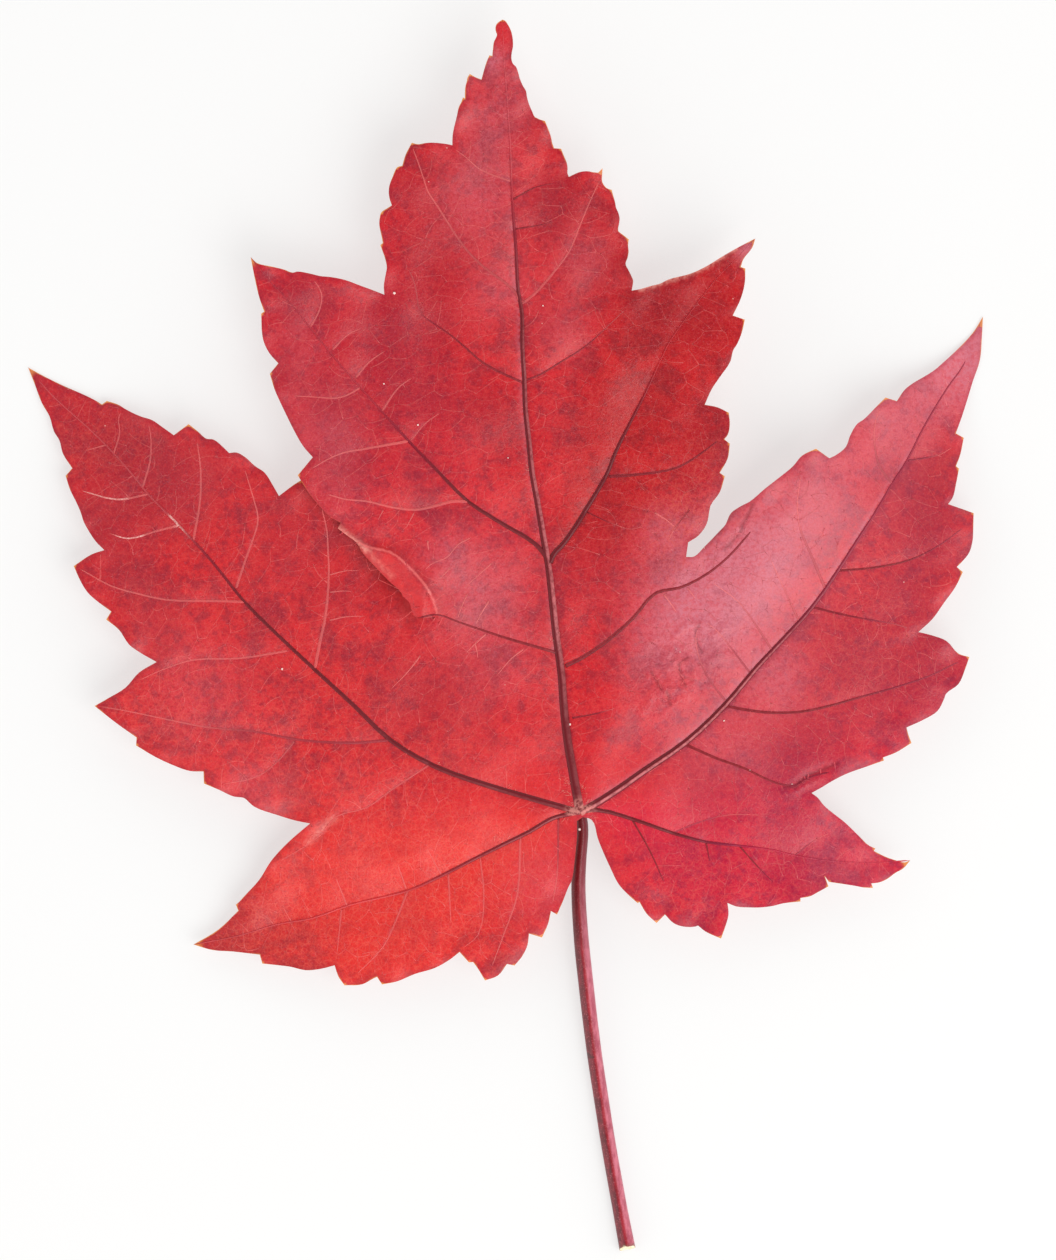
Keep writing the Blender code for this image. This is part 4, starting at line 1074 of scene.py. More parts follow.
# Spots of the drawing: (x, y, radius in squares, strength from 0 to 1)
BLOTCHES = [
    (300, 298, 26, 0.7), (300, 322, 30, 0.4), (285, 375, 26, 0.6), (335, 400, 34, 0.8),
    (372, 330, 38, 0.6), (430, 292, 40, 0.5), (400, 380, 30, 0.6), (345, 462, 36, 0.8),
    (420, 470, 26, 0.4), (430, 400, 36, 0.6), (440, 225, 30, 0.4), (410, 190, 24, 0.5),
    (480, 250, 30, 0.2), (560, 210, 34, 0.4), (600, 262, 34, 0.5), (560, 320, 30, 0.3),
    (655, 315, 34, 0.6), (705, 300, 30, 0.4), (690, 425, 36, 0.3), (640, 400, 30, 0.3),
    (610, 500, 30, 0.4), (490, 420, 34, 0.5), (520, 120, 26, 0.4), (480, 160, 24, 0.5),
    (558, 196, 20, 0.9), (545, 222, 16, 0.7), (706, 335, 26, 0.3), (690, 480, 30, 0.3),
    (655, 300, 24, 0.6), (712, 440, 20, 0.4), (420, 250, 24, 0.3), (395, 330, 26, 0.6),
    (440, 330, 22, 0.5), (590, 420, 40, 0.3), (600, 560, 40, 0.35),
    (62, 405, 26, 0.5), (110, 440, 34, 0.9), (160, 452, 30, 0.8), (100, 520, 36, 0.8),
    (180, 500, 36, 0.6), (130, 575, 30, 0.7), (215, 470, 30, 0.4), (290, 560, 36, 0.3),
    (150, 620, 26, 0.4), (330, 600, 30, 0.3), (140, 482, 28, 0.7), (275, 520, 30, 0.3),
    (450, 700, 44, 0.45), (400, 690, 40, 0.3),
    (930, 545, 34, 0.7), (885, 690, 44, 0.55), (815, 745, 36, 0.6), (786, 775, 24, 0.9),
    (940, 645, 30, 0.6), (850, 650, 40, 0.5), (905, 600, 30, 0.6), (915, 490, 40, 0.6),
    (900, 410, 40, 0.3), (820, 480, 40, 0.2), (940, 690, 30, 0.6), (770, 750, 30, 0.4),
    (240, 930, 44, 0.7), (200, 942, 30, 0.5), (300, 298, 20, 0.3), (700, 870, 40, 0.3), (800, 870, 34, 0.5),
    (790, 820, 40, 0.5), (705, 790, 34, 0.5),
]
FLUSHES = [
    (520, 790, 60, 0.3), (530, 730, 50, 0.2), (605, 780, 36, 0.7), (480, 830, 70, 0.8),
    (540, 880, 50, 0.7), (375, 905, 90, 0.8), (620, 690, 40, 0.4), (502, 32, 18, 1.0),
    (640, 430, 30, 0.15), (650, 380, 30, 0.15), (640, 820, 50, 0.6), (350, 560, 50, 0.3),
    (560, 480, 40, 0.2), (700, 800, 60, 0.3), (280, 800, 50, 0.2), (408, 560, 22, 0.4),
    (962, 372, 34, 0.7), (690, 340, 30, 0.3), (690, 450, 24, 0.4), (780, 720, 40, 0.6),
]
NETTED = [
    (350, 930, 100, 0.6), (480, 900, 80, 0.5), (250, 930, 70, 0.5), (430, 820, 80, 0.4),
    (700, 890, 60, 0.5), (800, 880, 50, 0.3), (150, 700, 90, 0.4), (90, 440, 50, 0.3),
    (310, 740, 80, 0.3), (860, 640, 80, 0.3), (680, 520, 40, 0.8), (720, 470, 40, 0.4),
]
# Spots of painted sheen: pink grain where the waxy skin would mirror the window
SHEEN_SPOTS = [
    (700, 610, 60, 1.0), (760, 560, 60, 0.85), (820, 490, 60, 0.5), (880, 430, 40, 0.3),
    (650, 650, 30, 0.2), (775, 680, 40, 0.5), (490, 590, 50, 0.35), (500, 660, 40, 0.2),
    (960, 370, 50, 0.9), (510, 80, 40, 0.25), (340, 500, 30, 0.2), (490, 130, 34, 0.3),
    (480, 200, 40, 0.4), (500, 290, 30, 0.3), (562, 330, 30, 0.2), (580, 260, 30, 0.2),
    (445, 552, 26, 0.3), (470, 600, 30, 0.15), (300, 420, 34, 0.15), (335, 440, 30, 0.2),
    (905, 410, 40, 0.2), (670, 720, 40, 0.2), (200, 700, 60, 0.2), (170, 640, 40, 0.05),
    (665, 528, 24, 0.4), (850, 862, 40, 0.3), (730, 745, 40, 0.3), (540, 880, 40, 0.2),
    (300, 345, 30, 0.15), (250, 795, 34, 0.25), (748, 247, 14, 0.8), (492, 60, 12, 0.7),
    (975, 335, 30, 0.8),
]
CRUMPLED = [
    (690, 665, 40, 1.0), (655, 695, 30, 0.9), (720, 640, 30, 0.7), (650, 600, 30, 0.3),
    (480, 570, 40, 0.3), (445, 552, 24, 0.4), (520, 690, 40, 0.3),
]
DARK_NET = [
    (700, 600, 60, 0.9), (760, 540, 60, 0.9), (820, 480, 50, 0.8), (650, 680, 50, 0.7),
    (640, 400, 60, 0.5), (590, 640, 40, 0.5), (730, 820, 60, 0.6), (690, 470, 34, 0.6),
    (790, 700, 60, 0.5), (450, 400, 60, 0.3),
]


def spread(points, spots):
    """How strong the spots are at each point: each one is soft, round and strongest in its middle."""
    total = np.zeros(len(points))
    for x, y, radius, strength in spots:
        gap = np.linalg.norm(points - on_table((x, y)), axis=1)
        total += strength * np.exp(-(gap / (radius * SQUARE)) ** 2)
    return np.minimum(total, 1)


# %% [markdown]
# ## The skin of the leaf
#
# Seen close, the skin is a mosaic: the finest veins cut it into cells well under a
# millimetre across, each a little domed. A Voronoi texture, bent by noise so that no edge is
# straight, gives that net. Over it lie clouds and grain of several sizes, and whatever is
# turned down is paler. The veins are only folds of the same skin, so they wear it too. Each
# of these effects is wanted by more than one finish, and is a node group with named sockets.

# %% Helpers for node trees


def number_node(tree, operation, first, second):
    """One step of arithmetic."""
    step = tree.nodes.new("ShaderNodeMath")
    step.operation = operation
    feed(tree, step.inputs[0], first)
    feed(tree, step.inputs[1], second)
    return step.outputs[0]


def plus(tree, first, second):
    """Two values added."""
    return number_node(tree, "ADD", first, second)


def times(tree, product, *others):
    """Two or more values multiplied."""
    for other in others:
        product = number_node(tree, "MULTIPLY", product, other)
    return product


def layered(tree, colour, *layers):
    """The colour with layers laid over it one by one, each its share from 0 to 1 and its colour."""
    for share, layer in layers:
        colour = mixed(tree, share, colour, layer)
    return colour


def kept(tree, name, output="Fac"):
    """What the piece keeps at each point under this name."""
    step = tree.nodes.new("ShaderNodeAttribute")
    step.attribute_name = name
    return step.outputs[output]


NOISE_ROUGHNESS = 0.62


def noise(tree, place, scale, detail):
    """Cloudy noise from 0 to 1 at about scale lumps a metre."""
    step = tree.nodes.new("ShaderNodeTexNoise")
    feed(tree, step.inputs["Vector"], place)
    feed(tree, step.inputs["Scale"], scale)
    step.inputs["Detail"].default_value = detail
    step.inputs["Roughness"].default_value = NOISE_ROUGHNESS
    return step.outputs["Fac"]


def new_group(name, takes, gives):
    """An empty group with these sockets, each given as its name and its kind, and its two ends."""
    group = bpy.data.node_groups.new(name, "ShaderNodeTree")
    for socket, kind in takes:
        group.interface.new_socket(socket, in_out="INPUT", socket_type="NodeSocket" + kind)
    for socket, kind in gives:
        group.interface.new_socket(socket, in_out="OUTPUT", socket_type="NodeSocket" + kind)
    return group, group.nodes.new("NodeGroupInput"), group.nodes.new("NodeGroupOutput")


def use(tree, group, sources):
    """The outputs of a group placed in a material, with its named inputs fed."""
    step = tree.nodes.new("ShaderNodeGroup")
    step.node_tree = group
    for name, source in sources.items():
        feed(tree, step.inputs[name], source)
    return step.outputs


# %% Node group: grain
GRAIN_SIZES = [("Clouds", 210, 4), ("Patches", 620, 3), ("Grain", 1900, 2), ("Speckle", 5200, 1)]


def grain_group():
    """Noise from 0 to 1 at four sizes, from clouds five millimetres wide to specks of a fifth."""
    gives = [(name, "Float") for name, _, _ in GRAIN_SIZES]
    group, come, go = new_group("grain", [("Place", "Vector")], gives)
    for name, scale, detail in GRAIN_SIZES:
        group.links.new(noise(group, come.outputs["Place"], scale, detail), go.inputs[name])
    return group


grain = grain_group()

# %% Node group: red skin
MOTTLE = (0.50, 0.92, 1.40, 1)  # what a purple mottle leaves of each colour
BRIGHTER = (1.22, 1.4, 1.05, 1)
# The pink of a painted sheen, for where the skin would mirror the window
SHEEN_PINK = paint(200, 109, 126)
SKIN_SPOTS = {"Flush": FLUSHES, "Blotch": BLOTCHES, "Painted_sheen": SHEEN_SPOTS}


def red_skin_group():
    """The red of the leaf, and the same at its brightest and at its most mottled.

    On the tint lie, in this order: orange-red flushes; clouds and grain of four sizes, which
    bring out purple mottles, most of all inside the blotches and least where it is flushed,
    with specks of painted sheen among them; and a painted sheen of pink grain, standing in for
    the window mirrored in the waxy skin.
    """
    takes = [("Tint", "Color")] + [(name, "Float") for name in SKIN_SPOTS]
    takes += [(name, "Float") for name, _, _ in GRAIN_SIZES]
    gives = [("Colour", "Color"), ("Bright", "Color"), ("Mottled", "Color")]
    tree, come, go = new_group("red skin", takes, gives)
    tint, flush, blotch, sheen, clouds, patches, fine, speckle = (
        come.outputs[name] for name, _ in takes
    )
    mottled = mixed(tree, 1.0, tint, MOTTLE, "MULTIPLY")
    bright = mixed(tree, 1.0, tint, BRIGHTER, "MULTIPLY")
    calm = ease(tree, flush, 0.0, 0.8, 1.0, 0.25)
    shadows = [
        (times(tree, calm, ease(tree, size, 0.50, full, 0.0, most)), mottled)
        for size, full, most in ((clouds, 0.36, 0.65), (patches, 0.34, 0.6), (fine, 0.30, 0.32))
    ]
    blotchy = times(
        tree, blotch, ease(tree, clouds, 0.36, 0.52), ease(tree, patches, 0.30, 0.62, 0.4, 1.1),
        ease(tree, fine, 0.35, 0.60, 0.6, 1.0),
    )
    sheen_share = times(
        tree, sheen, ease(tree, fine, 0.30, 0.60, 0.58, 0.95), ease(tree, speckle, 0.30, 0.60, 0.70, 1.0)
    )
    colour = layered(
        tree, tint,
        (times(tree, flush, 0.75), bright),
        (ease(tree, clouds, 0.48, 0.66, 0.0, 0.6), bright),
        (ease(tree, patches, 0.50, 0.66, 0.0, 0.5), bright),
        *shadows,
        (blotchy, mottled),
        (ease(tree, fine, 0.52, 0.72, 0.0, 0.35), bright),
        (ease(tree, speckle, 0.56, 0.78, 0.0, 0.25), SHEEN_PINK),
        (ease(tree, speckle, 0.44, 0.24, 0.0, 0.40), mottled),
        (sheen_share, SHEEN_PINK),
    )
    for name, source in (("Colour", colour), ("Bright", bright), ("Mottled", mottled)):
        tree.links.new(source, go.inputs[name])
    return tree


def red_skin(tree, sizes):
    """The red skin placed in a material: its colour, its brightest and its most mottled."""
    sources = {name: sizes[name] for name, _, _ in GRAIN_SIZES}
    sources |= {name: kept(tree, name.lower()) for name in SKIN_SPOTS}
    sources["Tint"] = kept(tree, "tint", "Color")
    gives = use(tree, skin_group, sources)
    return gives["Colour"], gives["Bright"], gives["Mottled"]


def keep_skin(piece, points, arrange=np.asarray):
    """Keeps what the red skin needs at each point of the piece.

    It is worked out once at each of the points given, and arrange then gives it to all the
    points of the mesh.
    """
    keep_colours(piece, "tint", arrange(lobe_tints(points)))
    for name, spots in SKIN_SPOTS.items():
        keep_numbers(piece, name.lower(), arrange(spread(points, spots)))


skin_group = red_skin_group()

# %% Node group: underside


def underside_group():
    """The colour as it is where Upper is 1, and mixed with Pale by Paling where it is 0."""
    takes = [("Colour", "Color"), ("Pale", "Color"), ("Paling", "Float"), ("Upper", "Float")]
    group, come, go = new_group("underside", takes, [("Colour", "Color")])
    below = mixed(group, come.outputs["Paling"], come.outputs["Colour"], come.outputs["Pale"])
    seen = mixed(group, come.outputs["Upper"], below, come.outputs["Colour"])
    group.links.new(seen, go.inputs["Colour"])
    return group


underside = underside_group()

# %% Node group: fine net


def fine_net_group():
    """The lines of a vein net (1 on a line) and the doming of its cells.

    The place is first pushed about by noise. Distance to the nearest cell's edge then gives
    thin lines where it is small, and domes where it is large.
    """
    takes = [("Place", "Vector"), ("Cells per metre", "Float"), ("Line width", "Float"), ("Wander", "Float")]
    group, come, go = new_group("fine net", takes, [("Line", "Float"), ("Dome", "Float")])
    push = group.nodes.new("ShaderNodeTexNoise")
    push.inputs["Detail"].default_value = 2.0
    group.links.new(come.outputs["Place"], push.inputs["Vector"])
    group.links.new(come.outputs["Cells per metre"], push.inputs["Scale"])
    centred = group.nodes.new("ShaderNodeVectorMath")
    centred.operation = "SUBTRACT"
    centred.inputs[1].default_value = (0.5, 0.5, 0.5)
    group.links.new(push.outputs["Color"], centred.inputs[0])
    scaled = group.nodes.new("ShaderNodeVectorMath")
    scaled.operation = "SCALE"
    group.links.new(centred.outputs[0], scaled.inputs[0])
    wander = number_node(group, "DIVIDE", come.outputs["Wander"], come.outputs["Cells per metre"])
    group.links.new(wander, scaled.inputs["Scale"])
    moved = group.nodes.new("ShaderNodeVectorMath")
    moved.operation = "ADD"
    group.links.new(come.outputs["Place"], moved.inputs[0])
    group.links.new(scaled.outputs[0], moved.inputs[1])
    cells = group.nodes.new("ShaderNodeTexVoronoi")
    cells.feature = "DISTANCE_TO_EDGE"
    group.links.new(moved.outputs[0], cells.inputs["Vector"])
    group.links.new(come.outputs["Cells per metre"], cells.inputs["Scale"])
    away = number_node(group, "DIVIDE", cells.outputs["Distance"], come.outputs["Line width"])
    line = ease(group, away, 0.0, 1.0, 1.0, 0.0)
    group.links.new(line, go.inputs["Line"])
    group.links.new(ease(group, cells.outputs["Distance"], 0.0, 0.45), go.inputs["Dome"])
    return group


fine_net = fine_net_group()


def net(tree, place, cells, line_width, wander):
    """The fine net placed in a material: its lines and its domes."""
    sources = {"Place": place, "Cells per metre": cells, "Line width": line_width, "Wander": wander}
    gives = use(tree, fine_net, sources)
    return gives["Line"], gives["Dome"]


PALING = 0.6


def paler_below(tree, colour, pale):
    """The colour with the paler underside that everything on this leaf has."""
    sources = {"Colour": colour, "Pale": pale, "Paling": PALING, "Upper": kept(tree, "upper")}
    return use(tree, underside, sources)["Colour"]


# %% Material: the blade


def object_place(tree):
    """Object coordinates, in metres."""
    return tree.nodes.new("ShaderNodeTexCoord").outputs["Object"]


def bump(tree, height, distance, strength):
    """A Bump node of this relief."""
    step = tree.nodes.new("ShaderNodeBump")
    step.inputs["Distance"].default_value = distance
    step.inputs["Strength"].default_value = strength
    feed(tree, step.inputs["Height"], height)
    return step.outputs["Normal"]


PALE_DOTS = 420  # cells a metre, each of which may hold one
RIM_YELLOW = paint(224, 146, 78)


def pale_dots(tree, place):
    """Tiny pale specks, one in a few of the cells: 1 in the middle of a speck and 0 round it."""
    cells = tree.nodes.new("ShaderNodeTexVoronoi")
    feed(tree, cells.inputs["Vector"], place)
    cells.inputs["Scale"].default_value = PALE_DOTS
    spot = ease(tree, cells.outputs["Distance"], 0.02, 0.05, 0.7, 0.0)
    parts = tree.nodes.new("ShaderNodeSeparateColor")
    tree.links.new(cells.outputs["Color"], parts.inputs[0])
    chosen = ease(tree, parts.outputs[0], 0.86, 0.90)
    return times(tree, spot, chosen)


def blade_finish():
    """The red lamina.

    On the red skin lie, in this order: the fine net; painted shade and painted light on the two
    sides of each valley; the yellow rim and tooth tips; pale strokes, worn ones and painted
    highlights on folds; the painted shade of the fold and of the overlap; the flap; a painted
    highlight on the fold's ridge; painted shade in the sunken creases; and tiny pale dots.
    """
    material, shader = plain_finish("leaf red", (0.5, 0.03, 0.04, 1), 0.36)
    shader.inputs["Specular IOR Level"].default_value = 0.36
    tree = material.node_tree
    place = object_place(tree)
    sizes = use(tree, grain, {"Place": place})
    _, patches, fine, speckle = (sizes[name] for name, _, _ in GRAIN_SIZES)
    skin, bright, mottled = red_skin(tree, sizes)
    line, dome = net(tree, place, 1150, 0.11, 1.1)
    small_line, small_dome = net(tree, place, 2500, 0.16, 1.0)
    line_paint = mixed(tree, 0.45, bright, paint(236, 140, 116))
    netted = plus(tree, kept(tree, "netted"), 0.4)
    line_share = times(tree, line, ease(tree, patches, 0.35, 0.60, 0.06, 0.30), netted)
    small_share = times(tree, small_line, times(tree, netted, 0.16))
    vein_light_and_shade, edge, tip = (kept(tree, name) for name in ("vein_light_and_shade", "edge_gap", "tip_gap"))
    ragged = plus(tree, edge, ease(tree, patches, 0.3, 0.7, -0.06 * MM, 0.10 * MM))
    thin_rim = ease(tree, ragged, 0.03 * MM, 0.14 * MM, 0.65, 0.0)
    close_to_tooth = ease(tree, tip, 0.5 * MM, 2.4 * MM, 1.0, 0.10)
    # Pale worn strokes and painted highlights on folds
    worn_and_highlight = times(tree, kept(tree, "worn_and_highlight"), ease(tree, fine, 0.35, 0.58, 0.35, 1.0))
    # A painted highlight along the ridge of the fold
    fold_ridge_highlight = plus(tree, kept(tree, "fold_gap"), ease(tree, fine, 0.3, 0.7, 0.0, 0.14 * MM))
    colour = layered(
        tree, skin,
        (line_share, line_paint),
        (small_share, line_paint),
        # Painted shade and painted light on the two sides of each valley
        (ease(tree, vein_light_and_shade, 0.05, 0.9, 0.0, 0.55), mottled),
        (ease(tree, vein_light_and_shade, -0.05, -0.9, 0.0, 0.50), SHEEN_PINK),
        (ease(tree, edge, 0.0, 0.7 * MM, 0.30, 0.0), mottled),
        (times(tree, thin_rim, close_to_tooth), RIM_YELLOW),
        (ease(tree, tip, 0.1 * MM, 0.45 * MM, 0.85, 0.0), RIM_YELLOW),
        (worn_and_highlight, paint(240, 164, 150)),
        (kept(tree, "shade"), paint(134, 8, 12)),
        (kept(tree, "flap"), paint(214, 50, 50)),
        (ease(tree, fold_ridge_highlight, 0.05 * MM, 0.34 * MM, 0.70, 0.0), paint(230, 106, 104)),
        (kept(tree, "painted_crease_shade"), paint(104, 18, 34)),
        (pale_dots(tree, place), paint(232, 170, 160)),
    )
    colour = paler_below(tree, colour, paint(206, 122, 116))
    tree.links.new(colour, shader.inputs["Base Color"])
    tree.links.new(ease(tree, fine, 0.3, 0.7, 0.32, 0.48), shader.inputs["Roughness"])
    folded = plus(tree, times(tree, patches, 14.0), fine)
    relief = plus(tree, times(tree, dome, 0.5), times(tree, small_dome, 0.4))
    relief = plus(tree, relief, times(tree, speckle, 0.6))
    relief = plus(tree, relief, times(tree, kept(tree, "crumpled"), folded))
    tree.links.new(bump(tree, relief, 0.022 * MM, 0.9), shader.inputs["Normal"])
    return material


# %% Build the blade
# Pale strokes, worn ones and painted highlights along folds: (strength, reach in millimetres, whether over
# the left lobe, points)
WORN_AND_HIGHLIGHTS = [
    (0.35, 0.45, False, [(334, 818), (322, 829), (308, 843)]),
    (0.6, 0.30, True, [(640, 289), (660, 283.5), (690.5, 273.5), (706.5, 266), (735, 249)]),
    (0.75, 0.40, True, [(339, 529), (350, 537), (360, 545.5), (368, 552)]),
    (0.4, 0.30, True, [(368, 552), (382, 566), (393, 577)]),
]
TOOTH_TURN = np.radians(38)
LOBE_TIPS = [TIP_LEFT, TIP_SHOULDER_LEFT, TIP_BASAL_LEFT, TIP_BASAL_RIGHT, TIP_RIGHT]
LOBE_TIP_SHARE = 0.3  # distances to a lobe's tip count as this share, so its yellow reaches further
PLAIN_EDGE = set(LEFT_UNDER_MIDDLE + MIDDLE_OVER_LEFT[:10])  # where no point is a tooth
FLAP_MARGIN = [(x - 8, y + 8) for x, y in MIDDLE_OVER_LEFT[:9]]  # round the flap's own margin
FLAP_STRENGTH = 0.35
# How strong the painted shade in the sunken creases is
CREASE_SHADE_STRENGTH = 0.5
FOLD_SHADE = {"strength": 0.5, "reach": 0.7 * MM}
OVERLAP_SHADE = {"strength": 0.8, "reach": 1.6 * MM}
SHARP_EDGE = 1.0  # a turn of the surface, as an angle, beyond which it isn't smoothed
# How strongly the painted shade and light on each main vein's two flanks differ, in the order of main_lines
MAIN_LIGHT_AND_SHADE = (1.0, 0.6, 0.1, 0.8, 0.1, 0.6, 0.1)
SIDE_LIGHT_AND_SHADE = 0.5


def tooth_tips(drawn):
    """The drawn margin's points that stick out: there the clockwise line turns right by enough."""
    points = on_table([place for place in drawn if place not in PLAIN_EDGE])
    arriving, leaving = unit(points[1:-1] - points[:-2]), unit(points[2:] - points[1:-1])
    turn = arriving[:, 0] * leaving[:, 1] - arriving[:, 1] * leaving[:, 0]
    straight = (arriving * leaving).sum(1)
    return points[1:-1][-np.arctan2(turn, straight) > TOOTH_TURN]


def nearest_point(points, targets):
    """The distance from each point to the nearest target."""
    best = np.full(len(points), 1.0)
    for start in range(0, len(points), CHUNK):
        part = points[start:start + CHUNK, None] - targets
        best[start:start + CHUNK] = np.linalg.norm(part, axis=2).min(1)
    return best


def both_sides(values):
    """The sheet's values for the points of its top and then of its underside."""
    return np.concatenate([values, values])


def vein_light_and_shade_of(points, veins, strengths, flank, reach):
    """How each point lies beside the nearest vein: above 0 on the window's side of it, where the
    finish paints shade, and below 0 on the other side, where it paints light.

    The blade dips towards its veins, so that side is turned away from the window and the
    other side to it. The value is the part of the way from the vein that goes towards the
    window, times the vein's strength, and beyond flank from the vein's middle it falls to a
    third at each reach.
    """
    vein_light_and_shade, best = np.zeros(len(points)), np.full(len(points), FAR)
    for vein, strength in zip(veins, strengths):
        close = near(points, vein, FAR)
        gap, along = beside(points[close], vein)
        run = np.concatenate([[0], np.cumsum(np.linalg.norm(np.diff(vein, axis=0), axis=1))])
        foot = np.stack([np.interp(along * run[-1], run, column) for column in vein.T], 1)
        value = unit(points[close] - foot) @ TOWARDS_WINDOW
        value *= strength * np.exp(-np.maximum(gap - flank, 0) / reach) * ramp(1.0, 0.6, along)
        nearer = gap < best[close]
        vein_light_and_shade[np.flatnonzero(close)[nearer]] = value[nearer]
        best[np.flatnonzero(close)[nearer]] = gap[nearer]
    return vein_light_and_shade


tips_left, tips_rest = tooth_tips(MARGIN_LEFT), tooth_tips(MARGIN_REST)
tip_gap = np.where(sheet_over_left, nearest_point(sheet, tips_rest), nearest_point(sheet, tips_left))
tip_gap = np.minimum(tip_gap, LOBE_TIP_SHARE * nearest_point(sheet, on_table(LOBE_TIPS)))
worn_and_highlight = np.zeros(len(sheet))
for strength, reach, over_left, points in WORN_AND_HIGHLIGHTS:
    stroke = strength * np.exp(-(beside(sheet, on_table(points))[0] / (reach * MM)) ** 2)
    worn_and_highlight = np.maximum(worn_and_highlight, stroke * (sheet_over_left == over_left))
fold_gap = np.where(sheet_over_left, least_gap(sheet, [fold_line], FAR), FAR)
# Painted shade in the sunken creases, those of negative height
crease_shading = np.zeros(len(sheet))
for crease_height, reach, line in crease_lines:
    crease_shading += (crease_height < 0) * np.exp(-(least_gap(sheet, [line], FAR) / (0.5 * reach)) ** 2)
flap = sheet_over_left & inside(sheet, np.vstack([on_table(FLAP_MARGIN), fold_line[::-1]]))
overlap_gap, overlap_share = beside(sheet, overlap_line)
shade = FOLD_SHADE["strength"] * np.exp(-fold_gap / FOLD_SHADE["reach"]) * (sheet_over_left & ~flap)
covered = (0.6 + 0.4 * ramp(0.62, 0.30, overlap_share)) * ramp(0.0, 0.14, overlap_share)
overlap_shade = OVERLAP_SHADE["strength"] * np.exp(-overlap_gap / OVERLAP_SHADE["reach"])
shade += overlap_shade * covered * ~sheet_over_left
# Painted shade where the blade, dipping to a vein, is turned away from the window, and painted light where it
# is turned to it
vein_light_and_shade = vein_light_and_shade_of(sheet, main_lines, MAIN_LIGHT_AND_SHADE, flank=0.35 * MM, reach=0.45 * MM)
vein_light_and_shade += vein_light_and_shade_of(sheet, side_lines, [SIDE_LIGHT_AND_SHADE] * len(side_lines), flank=0.18 * MM, reach=0.18 * MM)
blade_numbers = {
    "edge_gap": sheet_edge, "tip_gap": tip_gap, "fold_gap": fold_gap, "worn_and_highlight": worn_and_highlight, "shade": shade,
    "vein_light_and_shade": vein_light_and_shade, "crumpled": spread(sheet, CRUMPLED), "netted": spread(sheet, NETTED),
    "painted_crease_shade": CREASE_SHADE_STRENGTH * np.minimum(crease_shading, 1),
    "flap": FLAP_STRENGTH * flap * ramp(0.2 * MM, 0.6 * MM, fold_gap),
}
blade = add_piece("leaf_blade", np.vstack([over, under]), blade_faces.tolist(), blade_finish())
blade.data.set_sharp_from_angle(angle=SHARP_EDGE)
keep_skin(blade, sheet, both_sides)
keep_numbers(blade, "upper", np.repeat([1.0, 0.0], len(sheet)))
for number_name, numbers in blade_numbers.items():
    keep_numbers(blade, number_name, both_sides(numbers))
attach(blade, "root")
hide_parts("maple_leaf")
print("teeth:", len(tips_left) + len(tips_rest))

# %% Material: the veins


def vein_finish(name, dark_paint, crest_highlight_paint, pale_paint, shade_paint, crest_highlight):
    """Skin that turns pale, with painted light and shade, or mottled, or woody and dark with a
    painted highlight on its crest.

    Which of them it is goes by how dark the vein is. The painted highlight on the crest and the
    painted light on a pale vein's flank are where the lean is inside the four steps given: they
    rise between the first two and fall between the last two; elsewhere a pale vein gets painted
    shade. Pale veins melt into the skin beside them. The knot at the hub is streaked.
    """
    material, shader = plain_finish(name, dark_paint, 0.38)
    shader.inputs["Specular IOR Level"].default_value = 0.28
    tree = material.node_tree
    sizes = use(tree, grain, {"Place": object_place(tree)})
    skin, _, mottled = red_skin(tree, sizes)
    lean, middle, darkness = (kept(tree, name) for name in ("lean", "middle", "dark"))
    lit = times(tree, ease(tree, lean, *crest_highlight[:2]), ease(tree, lean, *crest_highlight[2:], 1.0, 0.0))
    pale = mixed(tree, lit, mixed(tree, 0.32, skin, shade_paint), mixed(tree, 0.6, skin, pale_paint))
    uneven = ease(tree, sizes["Grain"], 0.35, 0.6, 0.45, 1.0)
    dark = mixed(tree, times(tree, lit, kept(tree, "crest_highlight"), uneven), dark_paint, crest_highlight_paint)
    knot = ease(tree, kept(tree, "hub_gap"), 0.9 * MM, 2.4 * MM, 0.8, 0.0)
    grainy = ease(tree, sizes["Speckle"], 0.36, 0.58, 0.3, 1.0)
    colour = layered(
        tree, skin,
        (times(tree, kept(tree, "pale"), ease(tree, middle, 0.0, 0.75)), pale),
        (ease(tree, darkness, 0.0, 0.5), mottled),
        (times(tree, ease(tree, darkness, 0.2, 0.95), ease(tree, middle, 0.0, 0.4)), dark),
        (times(tree, knot, ease(tree, sizes["Grain"], 0.40, 0.58, 0.15, 1.0)), paint(206, 130, 122)),
        (times(tree, kept(tree, "glint"), grainy), paint(238, 188, 180)),
    )
    colour = paler_below(tree, colour, paint(196, 120, 104))
    tree.links.new(colour, shader.inputs["Base Color"])
    tree.links.new(bump(tree, sizes["Grain"], 0.03 * MM, 0.8), shader.inputs["Normal"])
    return material


